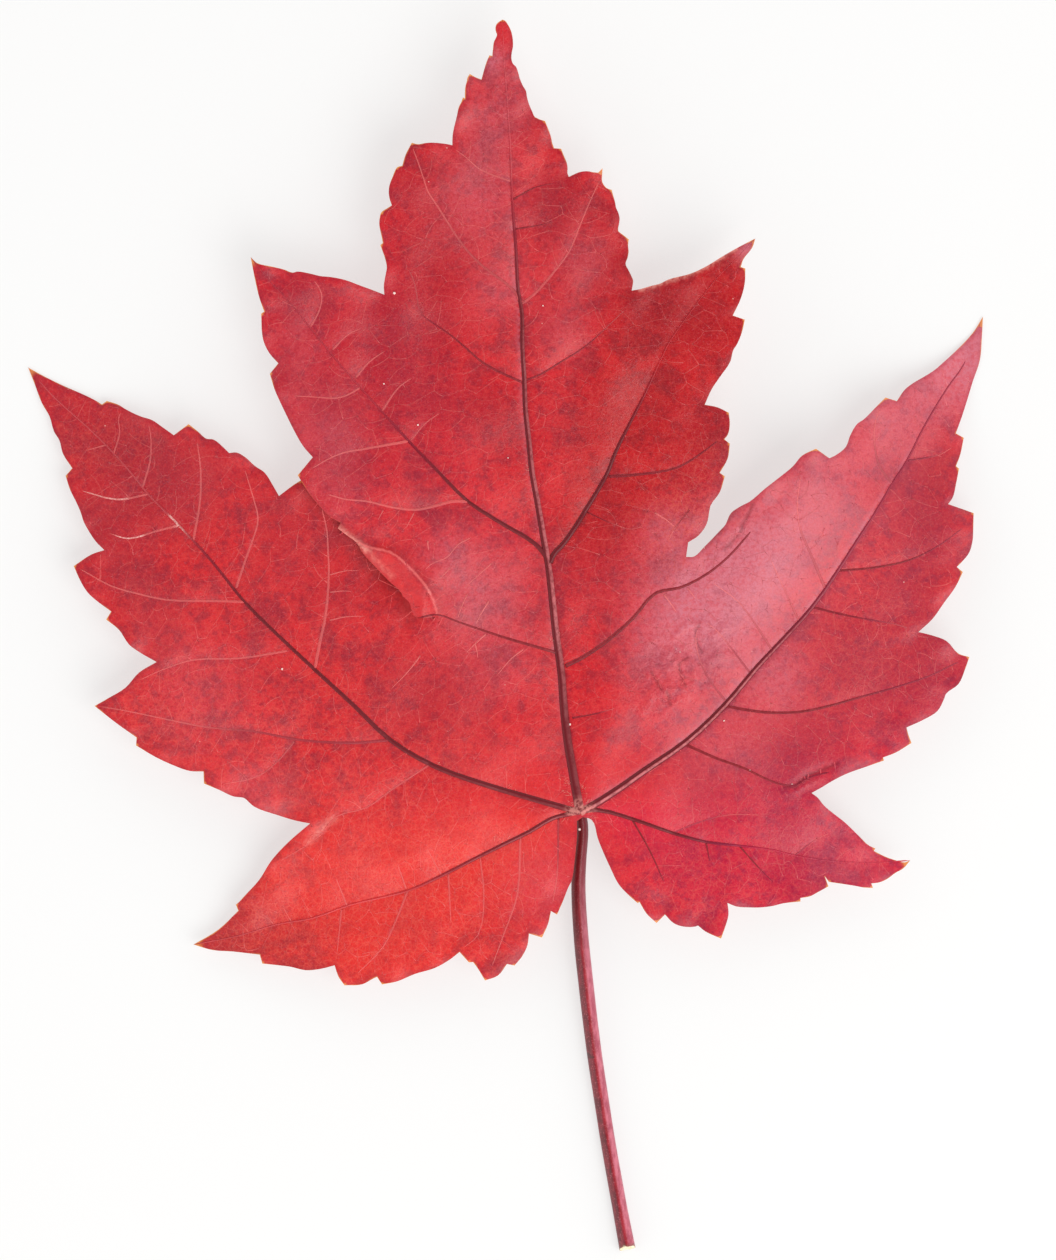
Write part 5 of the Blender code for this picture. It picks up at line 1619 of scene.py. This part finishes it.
# %% Build the main veins
# In the order of the veins' lists: the widths at both ends in millimetres and the taper; the
# darkness at both ends and the shares of the line where it fades; the painted highlight on the
# crest at CREST_HIGHLIGHT_SHARES; the paleness
MAIN_SIZES = [
    ((1.25, 0.14, 1.0), (1.00, 0.05, 0.55, 0.88), (0.15, 0.9, 0.0), 0.4),
    ((0.64, 0.14, 1.2), (1.00, 0.22, 0.15, 0.62), (0.10, 0.1, 0.0), 0.5),
    ((0.78, 0.12, 1.3), (1.00, 0.12, 0.25, 0.62), (0.00, 0.0, 0.0), 0.1),
    ((0.86, 0.20, 1.3), (1.00, 0.00, 0.45, 0.80), (0.12, 0.1, 0.1), 0.9),
    ((0.64, 0.16, 1.0), (0.75, 0.10, 0.10, 0.60), (0.40, 0.4, 0.3), 0.7),
    ((1.05, 0.14, 1.1), (0.95, 0.35, 0.20, 0.65), (1.00, 0.9, 0.2), 0.3),
    ((0.60, 0.14, 1.1), (0.95, 0.08, 0.20, 0.66), (0.10, 0.1, 0.0), 0.2),
]
MAIN_RISES = {"width": 1.1 * MM, "top": 0.34 * MM, "below": 0.62 * MM}
MAIN_STEP, MAIN_ARC_POINTS = 0.32 * MM, 9
GLINT_LINES = [
    [(170, 516), (181, 530), (191, 545)], [(84, 490), (98, 494), (112, 498), (126, 498)],
    [(118, 537), (130, 538), (142, 535)],
]
main_ribs = [
    (line, not any(line is other for other in main_left), *looks)
    for line, looks in zip(main_middle + main_left + main_right, MAIN_SIZES)
]
# Paints: the dark vein; the painted highlight on its crest; a pale vein's lit flank; its flank in painted
# shade
main_finish = vein_finish(
    "vein maroon", paint(104, 18, 28), paint(196, 104, 108), paint(214, 110, 112),
    paint(168, 44, 56), (-0.15, 0.15, 0.45, 0.80),
)
main_veins = rib_piece("main_veins", main_ribs, MAIN_RISES, MAIN_STEP, MAIN_ARC_POINTS, main_finish)
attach(main_veins, "root")
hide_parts("maple_leaf")

# %% Build the side veins
SIDE_RISES = {"width": 0.34 * MM, "top": 0.08 * MM, "below": 0.20 * MM}
SIDE_STEP, SIDE_ARC_POINTS = 0.4 * MM, 5
TIP_SHARE = 0.5  # a side vein's width at its tip, as a share of that noted
STOUTER = 1.4  # its width at its thick end, as a share of that noted
SLIMMER = 0.35  # how much less that share is for the darkest
DARK_TIP = 0.7  # its darkness at its tip, as a share of the fourth power of that noted
SIDE_FADE = (0.35, 0.9)  # the shares of its line between which its darkness fades
# How strong the painted highlight on a side vein's crest is, along its line
SIDE_CREST_HIGHLIGHT = (0.5, 0.5, 0.5)


def side_ribs(drawn, lines, over_left, paleness=0.8):
    """What rib_piece needs to know about these side veins."""
    return [
        (line, over_left, ((STOUTER - SLIMMER * dark) * width, TIP_SHARE * width, 1.0),
         (dark, DARK_TIP * dark**4, *SIDE_FADE), SIDE_CREST_HIGHLIGHT, paleness)
        for (width, dark, _), line in zip(drawn, lines)
    ]


all_side_ribs = side_ribs(SIDE_VEINS_MIDDLE + SIDE_VEINS_RIGHT, side_rest, True)
all_side_ribs += side_ribs(SIDE_VEINS_LEFT, side_left, False)
for drawn, over_left in ((SMALL_VEINS_REST, True), (SMALL_VEINS_LEFT, False)):
    all_side_ribs += side_ribs(drawn, smooth_veins(points_of(drawn)), over_left, 1.0)
# Paints: the dark vein; the painted highlight on its crest; a pale vein's lit flank; its flank in painted
# shade
side_finish = vein_finish(
    "vein pink", paint(112, 16, 28), paint(170, 50, 58), paint(234, 122, 118),
    paint(150, 30, 44), (-2.0, -1.5, 0.0, 0.7),
)
side_veins = rib_piece("side_veins", all_side_ribs, SIDE_RISES, SIDE_STEP, SIDE_ARC_POINTS, side_finish)
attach(side_veins, "root")
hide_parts("maple_leaf")

# %% [markdown]
# ## The net between the side veins
#
# Smaller veins join the side veins in a net of uneven cells, longer across the leaf than
# along it, because most of them run like rungs round the head of the stalk. Such cells are
# what is left when each point goes to the nearest of many scattered centres, so the net is a
# Voronoi diagram: the centres are a honeycomb, each pushed about at random, and the walls
# run between the circumcentres of the triangles that join them. It is made on a sheet where
# every angle round the stalk's head is closed up to about three fifths, and then opened out
# again, which stretches the cells round it. Stronger rungs leave the larger veins at about
# seventy degrees.

# %% Net of small veins
NET_CELL = 2.3 * MM
NET_JITTER = 0.20
NET_SEED = 21
NET_RINGS = 5
NET_FOLD = 0.58  # angles round the head are closed up to this share while the net is made
NET_WIDTHS = (0.20 * MM, 0.36 * MM)
NET_RISE = 0.020 * MM
NET_DEPTH = 0.07 * MM
NET_CLEARANCE = 0.28 * MM
NET_CENTRE = on_table((580, 830))


def turned(points, share):
    """The points with their angle round the head, measured from straight up, times share."""
    arrows = points - NET_CENTRE
    away = np.hypot(arrows[..., 0], arrows[..., 1])
    angle = np.arctan2(arrows[..., 0], arrows[..., 1]) * share
    return NET_CENTRE + np.stack([np.sin(angle), np.cos(angle)], -1) * away[..., None]


def net_walls():
    """The two ends of every wall of the cells, on the closed-up sheet."""
    reach = np.abs(turned(sheet, NET_FOLD) - NET_CENTRE).max() + 2 * NET_CELL
    centres = honeycomb(NET_CENTRE - reach, NET_CENTRE + reach, NET_CELL)
    centres += np.random.default_rng(NET_SEED).normal(0, NET_JITTER * NET_CELL, centres.shape)
    flat, _, triangles, *_ = delaunay_2d_cdt([Vector(p) for p in centres], [], [], 0, 1e-8)
    flat, triangles = np.array([tuple(p) for p in flat]), np.array(triangles)
    a, b, c = (flat[triangles[:, k]] for k in range(3))
    ab, ac = b - a, c - a
    twice = 2 * (ab[:, 0] * ac[:, 1] - ab[:, 1] * ac[:, 0])
    ab2, ac2 = (ab**2).sum(1), (ac**2).sum(1)
    off_x, off_y = ac[:, 1] * ab2 - ab[:, 1] * ac2, ab[:, 0] * ac2 - ac[:, 0] * ab2
    middle = a + np.stack([off_x, off_y], 1) / twice[:, None]
    edges = np.sort(np.vstack([triangles[:, [0, 1]], triangles[:, [1, 2]], triangles[:, [2, 0]]]), axis=1)
    owner = np.tile(np.arange(len(triangles)), 3)
    order = np.lexsort(edges.T)
    edges, owner = edges[order], owner[order]
    twin = np.flatnonzero((edges[1:] == edges[:-1]).all(1))
    return np.stack([middle[owner[twin]], middle[owner[twin + 1]]], 1)


def halves_under(paths):
    """Which paths lie on the leaf, clear of its margin, and which of their points are over the left lobe."""
    flat = paths.reshape(-1, 2)
    in_left = inside(flat, outline_left) & (least_gap(flat, edge_lines_left, MM) > NET_CLEARANCE)
    in_rest = inside(flat, outline_rest) & (least_gap(flat, edge_lines_rest, MM) > NET_CLEARANCE)
    shape = paths.shape[:-1]
    return (in_left | in_rest).reshape(shape), in_rest.reshape(shape)


def net_paths():
    """Each wall as a slightly bowed row of points on the leaf, and which half it is on."""
    walls = net_walls()
    span = walls[:, 1] - walls[:, 0]
    length = np.linalg.norm(span, axis=1)
    walls, span = walls[length > 0.25 * MM], span[length > 0.25 * MM]
    share = np.linspace(0, 1, NET_RINGS)
    bow = np.random.default_rng(NET_SEED + 1).normal(0, 0.06, len(walls))
    sideways = np.stack([-span[:, 1], span[:, 0]], 1) * bow[:, None]
    paths = walls[:, :1] + span[:, None] * share[:, None] + sideways[:, None] * np.sin(np.pi * share)[:, None]
    angle = np.arctan2(*np.moveaxis(paths - NET_CENTRE, -1, 0))
    paths = turned(paths, 1 / NET_FOLD)[(np.abs(angle) < np.pi * NET_FOLD).all(1)]
    on_leaf, over_left = halves_under(paths)
    return paths[on_leaf.all(1)], over_left[on_leaf.all(1)]


def net_piece(name, paths, over_left, strengths, material):
    """Thin veins, each one a low rib with its own width and strength, between the two strengths given."""
    middle = blade_height(paths.reshape(-1, 2), over_left.ravel()).reshape(over_left.shape)
    heading = unit(np.gradient(paths, axis=1))
    across = np.stack([heading[..., 1], -heading[..., 0]], -1)
    share = np.random.default_rng(NET_SEED + 2).beta(2.4, 2.2, len(paths))
    strength = strengths[0] + (strengths[1] - strengths[0]) * share
    strength *= 0.8 + 0.25 * spread(paths[:, NET_RINGS // 2], NETTED)
    width = NET_WIDTHS[0] + (NET_WIDTHS[1] - NET_WIDTHS[0]) * strength
    u = np.array([-0.5, 0, 0.5, 0.5, 0, -0.5])
    skin = 0.5 * BLADE_THICKNESS
    sunk = skin - 0.04 * MM
    rise = np.array([sunk, skin + NET_RISE, sunk, -sunk, -skin - NET_DEPTH, -sunk])
    offset = across[:, :, None] * (width[:, None] * u)[:, None, :, None]
    heights = np.maximum(middle[..., None] + rise, 2 * RIB_FLOOR)
    spots = np.concatenate([paths[:, :, None] + offset, heights[..., None]], 3)
    sides = len(u)
    template = np.array(ring_faces(NET_RINGS, sides, 0)[:-2])
    block = NET_RINGS * sides
    firsts = np.arange(len(paths))[:, None] * block
    faces = (template + firsts[:, None]).reshape(-1, 4).tolist()
    faces += (firsts + np.arange(sides)).tolist()
    faces += (firsts + block - sides + np.arange(sides)[::-1]).tolist()
    piece = add_piece(name, spots.reshape(-1, 3), faces, material)
    keep_numbers(piece, "upper", np.tile(np.repeat([1.0, 0.0], 3), len(paths) * NET_RINGS))
    keep_numbers(piece, "strength", np.repeat(strength, block))
    keep_numbers(piece, "dark", np.repeat(strength * spread(paths[:, NET_RINGS // 2], DARK_NET), block))
    keep_numbers(piece, "middle", np.tile(1 - 2 * np.abs(u), len(paths) * NET_RINGS))
    keep_skin(piece, paths.reshape(-1, 2), lambda values: np.repeat(values, sides, axis=0))
    print(name, "has", len(paths), "walls,", len(piece.data.polygons), "faces")
    return piece


def net_finish():
    """The skin, paler or darker along the middle of a wall, as far as the wall is strong."""
    material, shader = plain_finish("vein net", (0.5, 0.1, 0.1, 1), 0.40)
    shader.inputs["Specular IOR Level"].default_value = 0.36
    tree = material.node_tree
    sizes = use(tree, grain, {"Place": object_place(tree)})
    skin, bright, _ = red_skin(tree, sizes)
    middle = times(
        tree, kept(tree, "middle"), ease(tree, sizes["Clouds"], 0.36, 0.56, 0.4, 0.75),
        ease(tree, sizes["Grain"], 0.34, 0.50, 0.6, 1.0),
    )
    colour = layered(
        tree, skin,
        (times(tree, kept(tree, "strength"), middle), mixed(tree, 0.6, bright, paint(238, 140, 132))),
        (times(tree, kept(tree, "dark"), middle), paint(120, 14, 34)),
    )
    colour = paler_below(tree, colour, paint(198, 112, 104))
    tree.links.new(colour, shader.inputs["Base Color"])
    return material


net_material = net_finish()
net_veins = net_piece("net_veins", *net_paths(), (0.1, 0.8), net_material)
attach(net_veins, "root")
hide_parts("maple_leaf")

# %% Rungs
RUNG_SEED = 8
RUNG_STEP = 3.2 * MM
RUNG_LENGTHS = (1.4 * MM, 3.6 * MM)
RUNG_ANGLE = np.radians(70)
RUNG_SPARE = 0.35 * MM
RUNG_SHARES = np.linspace(0, 1, 12)


def rungs_of(line, number, veins):
    """The rungs of one vein, and which of their points are over the left lobe.

    They leave it on both sides at about RUNG_ANGLE. A point lies as far from the rung's
    root as its share of the rung's length, in a direction that turns evenly by curl. Where
    a rung would come within RUNG_SPARE of another vein, or off the leaf, it ends.
    """
    rng = np.random.default_rng([RUNG_SEED, number])
    along = spaced(line, RUNG_STEP)
    heading = unit(np.gradient(along, axis=0))[1:-1].repeat(2, axis=0)
    count = len(heading)
    root = along[1:-1].repeat(2, axis=0) + heading * rng.uniform(-0.3, 0.3, (count, 1)) * RUNG_STEP
    side = np.tile([-1, 1], count // 2)
    angle = np.arctan2(heading[:, 1], heading[:, 0]) + side * rng.normal(RUNG_ANGLE, 0.12, count)
    curl = side * rng.normal(-0.5, 0.4, count)
    length = rng.uniform(*RUNG_LENGTHS, count)

    def drawn(shares):
        way = angle[:, None] + 0.5 * curl[:, None] * shares
        away = (length[:, None] * shares)[..., None]
        return root[:, None] + away * np.stack([np.cos(way), np.sin(way)], -1)

    trial = drawn(np.tile(RUNG_SHARES, (count, 1)))
    others = [vein for vein in veins if vein is not line]
    gaps = least_gap(trial.reshape(-1, 2), others, MM).reshape(count, -1)
    clear = (gaps > RUNG_SPARE) & halves_under(trial)[0]
    clear[:, 0] = True
    stop = np.where(clear.all(1), len(RUNG_SHARES) - 1, clear.argmin(1) - 1)
    paths = drawn(RUNG_SHARES[stop][:, None] * np.linspace(0, 1, NET_RINGS))
    long_enough = length * RUNG_SHARES[stop] > 0.8 * MM
    return paths[long_enough], halves_under(paths)[1][long_enough]


all_veins = main_lines + side_lines
long_veins = [number for number, line in enumerate(all_veins) if len(spaced(line, RUNG_STEP)) > 3]
rungs = [rungs_of(all_veins[number], number, all_veins) for number in long_veins]
rung_paths, rungs_over_left = (np.concatenate(parts) for parts in zip(*rungs))
rung_veins = net_piece("rung_veins", rung_paths, rungs_over_left, (0.35, 0.85), net_material)
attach(rung_veins, "root")
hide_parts("maple_leaf")

# %% [markdown]
# ## The stalk
#
# The stalk is a tough little rod, not quite round: it has a blunt edge along its top, so that
# one side catches the window and the other stays dark. It is the same kind of surface as a
# vein, a profile carried along a path, but here the profile is a ring that stands free. It
# broadens at its foot, where it was joined to the twig.

# %% Build the stalk
STALK_LINE = [
    (566, 724, 4.6), (571, 760, 4.1), (576, 790, 3.7), (580, 811, 3.5), (582.5, 828, 3.4),
    (580, 860, 3.2), (578.6, 884, 3.0), (581.2, 936, 2.5), (586.6, 988, 2.0), (591, 1026, 1.6),
    (595.3, 1059, 1.3), (601.9, 1102, 1.05), (608, 1141, 0.95), (617, 1192, 0.90), (624, 1230, 0.90),
    (628, 1251, 0.93),
]
STALK_RADII = [
    (0.0, 0.30), (0.17, 0.72), (0.22, 0.76), (0.30, 0.88), (0.45, 0.94), (0.75, 0.91), (0.92, 0.92),
    (0.98, 0.98), (1.0, 1.0),
]
STALK_SIDES = 36
STALK_STEP = 0.5 * MM
STALK_CORNERS = 0.07  # how far the three rounded corners stand out, as a share of the radius
STALK_EDGE = 0.03  # how much further the one on top does
STALK_LEAN = 0.10  # how far that edge leans to the right of straight up, as an angle


def stalk_path():
    """The stalk's line in space, evenly spaced: a smooth curve seen from above, with its heights between."""
    drawn = np.array(STALK_LINE)
    flat = curve_through(on_table(drawn[:, :2]), 6)
    heights = np.interp(np.arange(len(flat)) / 6, np.arange(len(drawn)), drawn[:, 2] * MM)
    soft = np.convolve(np.pad(heights, 4, mode="edge"), np.ones(9) / 9, mode="valid")
    return spaced(np.column_stack([flat, soft]), STALK_STEP)


def stalk_rings():
    """Rings round the stalk's line.

    At a turn round the line the radius is the stalk's own there, times one plus
    STALK_CORNERS times the cosine of three times the turn from the edge: a soft triangle.
    A narrow peak sharpens the corner that is the edge.
    """
    path = stalk_path()
    heading = unit(np.gradient(path, axis=0))
    across = unit(np.cross(heading, (0, 0, 1)))
    upward = np.cross(across, heading)
    share = np.linspace(0, 1, len(path))
    radius = np.interp(share, *np.array(STALK_RADII).T) * MM
    turn = np.arange(STALK_SIDES) / STALK_SIDES * 2 * np.pi + STALK_LEAN
    from_edge = (turn - STALK_LEAN + 0.5 * np.pi) % (2 * np.pi) - np.pi
    shape = 1 + STALK_CORNERS * np.cos(3 * from_edge) + STALK_EDGE * np.exp(-(from_edge / 0.25) ** 2)
    ring = np.stack([np.cos(turn) * shape, np.sin(turn) * shape], 1)
    rings = path[:, None] + radius[:, None, None] * (
        across[:, None] * ring[:, :1] + upward[:, None] * ring[:, 1:]
    )
    rings[..., 2] = np.maximum(rings[..., 2], 0)
    return rings, share, turn


def stalk_finish():
    """Dark crimson skin with fine pale grain and a few scuffs, darker towards the blade, and painted
    light and shade: dark left of the edge, brighter towards it and rosy right of it, facing the window.
    """
    material, shader = plain_finish("stalk maroon", paint(150, 36, 58), 0.34)
    tree = material.node_tree
    place = object_place(tree)
    sizes = use(tree, grain, {"Place": place})
    stretched = tree.nodes.new("ShaderNodeMapping")
    stretched.inputs["Scale"].default_value = (1.0, 0.35, 1.0)
    tree.links.new(place, stretched.inputs["Vector"])
    streaks = noise(tree, stretched.outputs["Vector"], 1500, 3)
    streaky = ease(tree, streaks, 0.35, 0.66)
    dark = mixed(tree, streaky, paint(92, 12, 24), paint(130, 26, 40))
    bright = mixed(tree, streaky, paint(138, 20, 34), paint(166, 36, 50))
    rosy_lit_side = mixed(tree, streaky, paint(158, 56, 78), paint(194, 100, 118))
    side, along = kept(tree, "side"), kept(tree, "along")
    # Painted light and shade round the edge: dark on its left, brighter towards it, rosy on its right, which
    # faces the window
    colour = layered(
        tree, dark,
        (ease(tree, sizes["Patches"], 0.54, 0.70, 0.0, 0.5), paint(88, 20, 32)),
        (ease(tree, side, -0.4, -0.08), bright),
        (ease(tree, side, -0.02, 0.22), rosy_lit_side),
        (ease(tree, sizes["Speckle"], 0.56, 0.74, 0.0, 0.45), paint(204, 116, 126)),
        (times(tree, ease(tree, along, 0.20, 0.52, 1.0, 0.0), 0.85), paint(104, 12, 20)),
        (ease(tree, kept(tree, "nick_gap"), 0.08 * MM, 0.32 * MM, 0.9, 0.0), paint(64, 28, 30)),
        (ease(tree, along, 0.988, 0.998, 0.0, 0.6), paint(120, 70, 56)),
    )
    tree.links.new(colour, shader.inputs["Base Color"])
    relief = plus(tree, streaks, times(tree, sizes["Speckle"], 0.5))
    tree.links.new(bump(tree, relief, 0.04 * MM, 0.8), shader.inputs["Normal"])
    return material


NICK_LINE = [(588, 1055), (591, 1057.5), (594, 1056.5)]
CUT_BACK = 0.42 * MM  # how far the top of the cut is back from its foot
CUT_NOTCH = 0.30 * MM
rings, stalk_share, stalk_turn = stalk_rings()
foot_way = unit(rings[-1].mean(0) - rings[-3].mean(0))
foot_height = rings[-1][:, 2] - rings[-1][:, 2].min()
notch = np.exp(-((np.cos(stalk_turn) - 0.35) / 0.22) ** 2) * (np.sin(stalk_turn) > 0)
cut_back = CUT_BACK * ramp(0.1, 0.75, foot_height / foot_height.max()) + CUT_NOTCH * notch
rings[-1] -= foot_way * cut_back[:, None]
rings[-2] -= foot_way * (0.5 * cut_back)[:, None]
stalk_faces = ring_faces(len(rings), STALK_SIDES, 0)
stalk = add_piece("stalk", rings.reshape(-1, 3), stalk_faces[:-1], stalk_finish())
keep_numbers(stalk, "along", np.repeat(stalk_share, STALK_SIDES))
# How far each point is turned to the right of the edge, towards the window; the finish paints light and shade
# by it
side = np.sin(stalk_turn - STALK_LEAN - 0.5 * np.pi) * (np.sin(stalk_turn) > -0.6)
keep_numbers(stalk, "side", np.tile(side, len(rings)))
nick_gap = beside(rings.reshape(-1, 3)[:, :2], on_table(NICK_LINE))[0]
keep_numbers(stalk, "nick_gap", nick_gap)
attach(stalk, "root")
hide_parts("maple_leaf")
print("stalk:", len(rings), "rings")

# %% Cut end of the stalk
CUT_RINGS = [(1.0, 0.0), (0.94, 0.02), (0.80, 0.03), (0.5, 0.0), (0.2, 0.03), (0.02, 0.03)]


def cut_end_piece():
    """The pale face where the stalk left its twig: the last ring, drawn in step by step."""
    last = rings[-1]
    middle = last.mean(0)
    steps = [middle + (last - middle) * size + foot_way * out * MM for size, out in CUT_RINGS]
    faces = ring_faces(len(steps), STALK_SIDES, 0)
    material, shader = plain_finish("cut end cream", paint(234, 220, 184), 0.6)
    tree = material.node_tree
    speckle = use(tree, grain, {"Place": object_place(tree)})["Speckle"]
    colour = mixed(tree, ease(tree, speckle, 0.35, 0.65), paint(222, 200, 156), paint(244, 234, 206))
    colour = mixed(tree, kept(tree, "torn"), colour, paint(84, 44, 40))
    tree.links.new(colour, shader.inputs["Base Color"])
    tree.links.new(bump(tree, speckle, 0.03 * MM, 0.6), shader.inputs["Normal"])
    piece = add_piece("cut_end", np.vstack(steps), faces[:-2] + faces[-1:], material)
    torn = np.outer([size**2 for size, _ in CUT_RINGS], np.minimum(1.6 * notch, 1))
    keep_numbers(piece, "torn", np.maximum(torn.ravel(), np.repeat([0.8, 0.2, 0, 0, 0, 0], STALK_SIDES)))
    return piece


cut_end = cut_end_piece()
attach(cut_end, "root")
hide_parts("maple_leaf")

# %% [markdown]
# ## Hairs and beads
#
# Young maple leaves are woolly underneath and keep a few hairs where the veins meet, even
# after the rest have been shed. Here and there a bead of dried sap sits on the skin, and a few
# smaller pale globes are put where the crinkled skin glints, as painted highlights. The hairs
# are a few hundredths of a millimetre thick and the beads a tenth to a third of one, but both
# catch the light.

# %% Build the hairs
HAIR_SEED = 6
HAIR_RADIUS = 0.017 * MM
HAIR_POINTS = 5
# Tufts: (x, y, spread in squares, direction in degrees from the right, how many)
TUFTS = [
    (568, 780, 5, 150, 10), (569, 795, 5, 160, 8), (583, 790, 4, 30, 6), (574, 806, 5, 120, 8),
    (590, 802, 5, 60, 7), (566, 815, 6, 200, 8), (592, 816, 5, 330, 6), (513, 790, 5, 210, 5),
    (440, 765, 6, 200, 4), (556, 640, 6, 160, 5), (527, 470, 6, 170, 5), (500, 838, 9, 250, 7),
    (478, 884, 8, 120, 3),
]


def hairs_piece():
    """Short curved hairs in tufts.

    Each hair leaves the skin at its root, goes its length in its own direction and bends
    up and over in a half sine. It is a three-sided tube that thins towards its end.
    """
    rng = np.random.default_rng(HAIR_SEED)
    tufts = np.repeat(np.array(TUFTS, float), [tuft[-1] for tuft in TUFTS], axis=0)
    root = on_table(tufts[:, :2] + rng.normal(0, 0.5, (len(tufts), 2)) * tufts[:, 2:3])
    angle = np.radians(tufts[:, 3] + rng.normal(0, 35, len(tufts)))
    length = rng.uniform(0.3, 0.75, len(tufts)) * MM
    share = np.linspace(0, 1, HAIR_POINTS)
    curl = rng.normal(0, 0.4, len(tufts))
    way = angle[:, None] + curl[:, None] * share
    steps = np.stack([np.cos(way), np.sin(way)], -1) * (length / HAIR_POINTS)[:, None, None]
    path = root[:, None] + np.cumsum(steps, axis=1)
    surface = blade_height(path.reshape(-1, 2), np.full(path.size // 2, True)).reshape(len(tufts), -1)
    heights = surface + 0.5 * BLADE_THICKNESS + 0.25 * length[:, None] * np.sin(np.pi * share)
    turn = np.arange(3) * 2 * np.pi / 3
    radius = HAIR_RADIUS * (1.1 - share)
    across = np.stack([-np.sin(way), np.cos(way)], -1)
    places = path[:, :, None] + across[:, :, None] * (radius[:, None] * np.cos(turn))[..., None]
    levels = heights[..., None] + radius[:, None] * np.sin(turn)
    spots = np.concatenate([places, levels[..., None]], 3).reshape(-1, 3)
    firsts = np.arange(len(tufts)) * HAIR_POINTS * 3
    faces = sum((ring_faces(HAIR_POINTS, 3, int(first)) for first in firsts), [])
    material, _ = plain_finish("hair pale", paint(236, 176, 158), 0.5)
    return add_piece("hairs", spots, faces, material)


hairs = hairs_piece()
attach(hairs, "root")
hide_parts("maple_leaf")
print("hairs:", sum(tuft[-1] for tuft in TUFTS))

# %% Build the beads and the glint specks
# Beads: (x, y, radius in millimetres); the smallest, of 0.04 to 0.07 millimetres on the right lobe, are pale
# specks for glints: painted highlights
BEADS_AND_GLINTS = [
    (570, 724.4, 0.14), (394.5, 293.5, 0.17), (282, 669, 0.14), (418, 425, 0.12), (543, 306, 0.10),
    (384, 384, 0.10), (508, 458, 0.09), (724, 720.7, 0.10), (676, 649, 0.05), (680, 652, 0.06),
    (684, 650, 0.04), (704, 548, 0.06), (750, 770, 0.06), (792, 784, 0.07), (683, 745, 0.06),
]
STALK_BEAD = (579.5, 829.4, 4.15, 0.17)  # with its height before its radius
BEAD_TURNS, BEAD_RINGS = 10, 7
LEFT_LOBE_END = 300  # beads further left than this lie on the left lobe


def beads_and_glints_piece():
    """Small globes, each rings of points from pole to pole, closed at both by a single point's cap."""
    flat = np.array([bead[:2] for bead in BEADS_AND_GLINTS])
    radius = np.array([bead[2] for bead in BEADS_AND_GLINTS] + [STALK_BEAD[3]]) * MM
    top = blade_height(on_table(flat), flat[:, 0] > LEFT_LOBE_END) + 0.5 * BLADE_THICKNESS
    places = on_table(np.vstack([flat, STALK_BEAD[:2]]))
    centres = np.column_stack([places, np.append(top, STALK_BEAD[2] * MM) + 0.4 * radius])
    down = np.linspace(0.02, 0.98, BEAD_RINGS) * np.pi
    turn = -np.arange(BEAD_TURNS) / BEAD_TURNS * 2 * np.pi
    globe = np.stack([
        np.outer(np.sin(down), np.cos(turn)), np.outer(np.sin(down), np.sin(turn)),
        np.outer(np.cos(down), np.ones(BEAD_TURNS)),
    ], 2).reshape(-1, 3)
    spots = (centres[:, None] + radius[:, None, None] * globe).reshape(-1, 3)
    firsts = np.arange(len(centres)) * len(globe)
    faces = sum((ring_faces(BEAD_RINGS, BEAD_TURNS, int(first)) for first in firsts), [])
    material, _ = plain_finish("bead pale", paint(240, 214, 206), 0.25)
    return add_piece("beads_and_glints", spots, faces, material)


beads_and_glints = beads_and_glints_piece()
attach(beads_and_glints, "root")
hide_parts("maple_leaf")
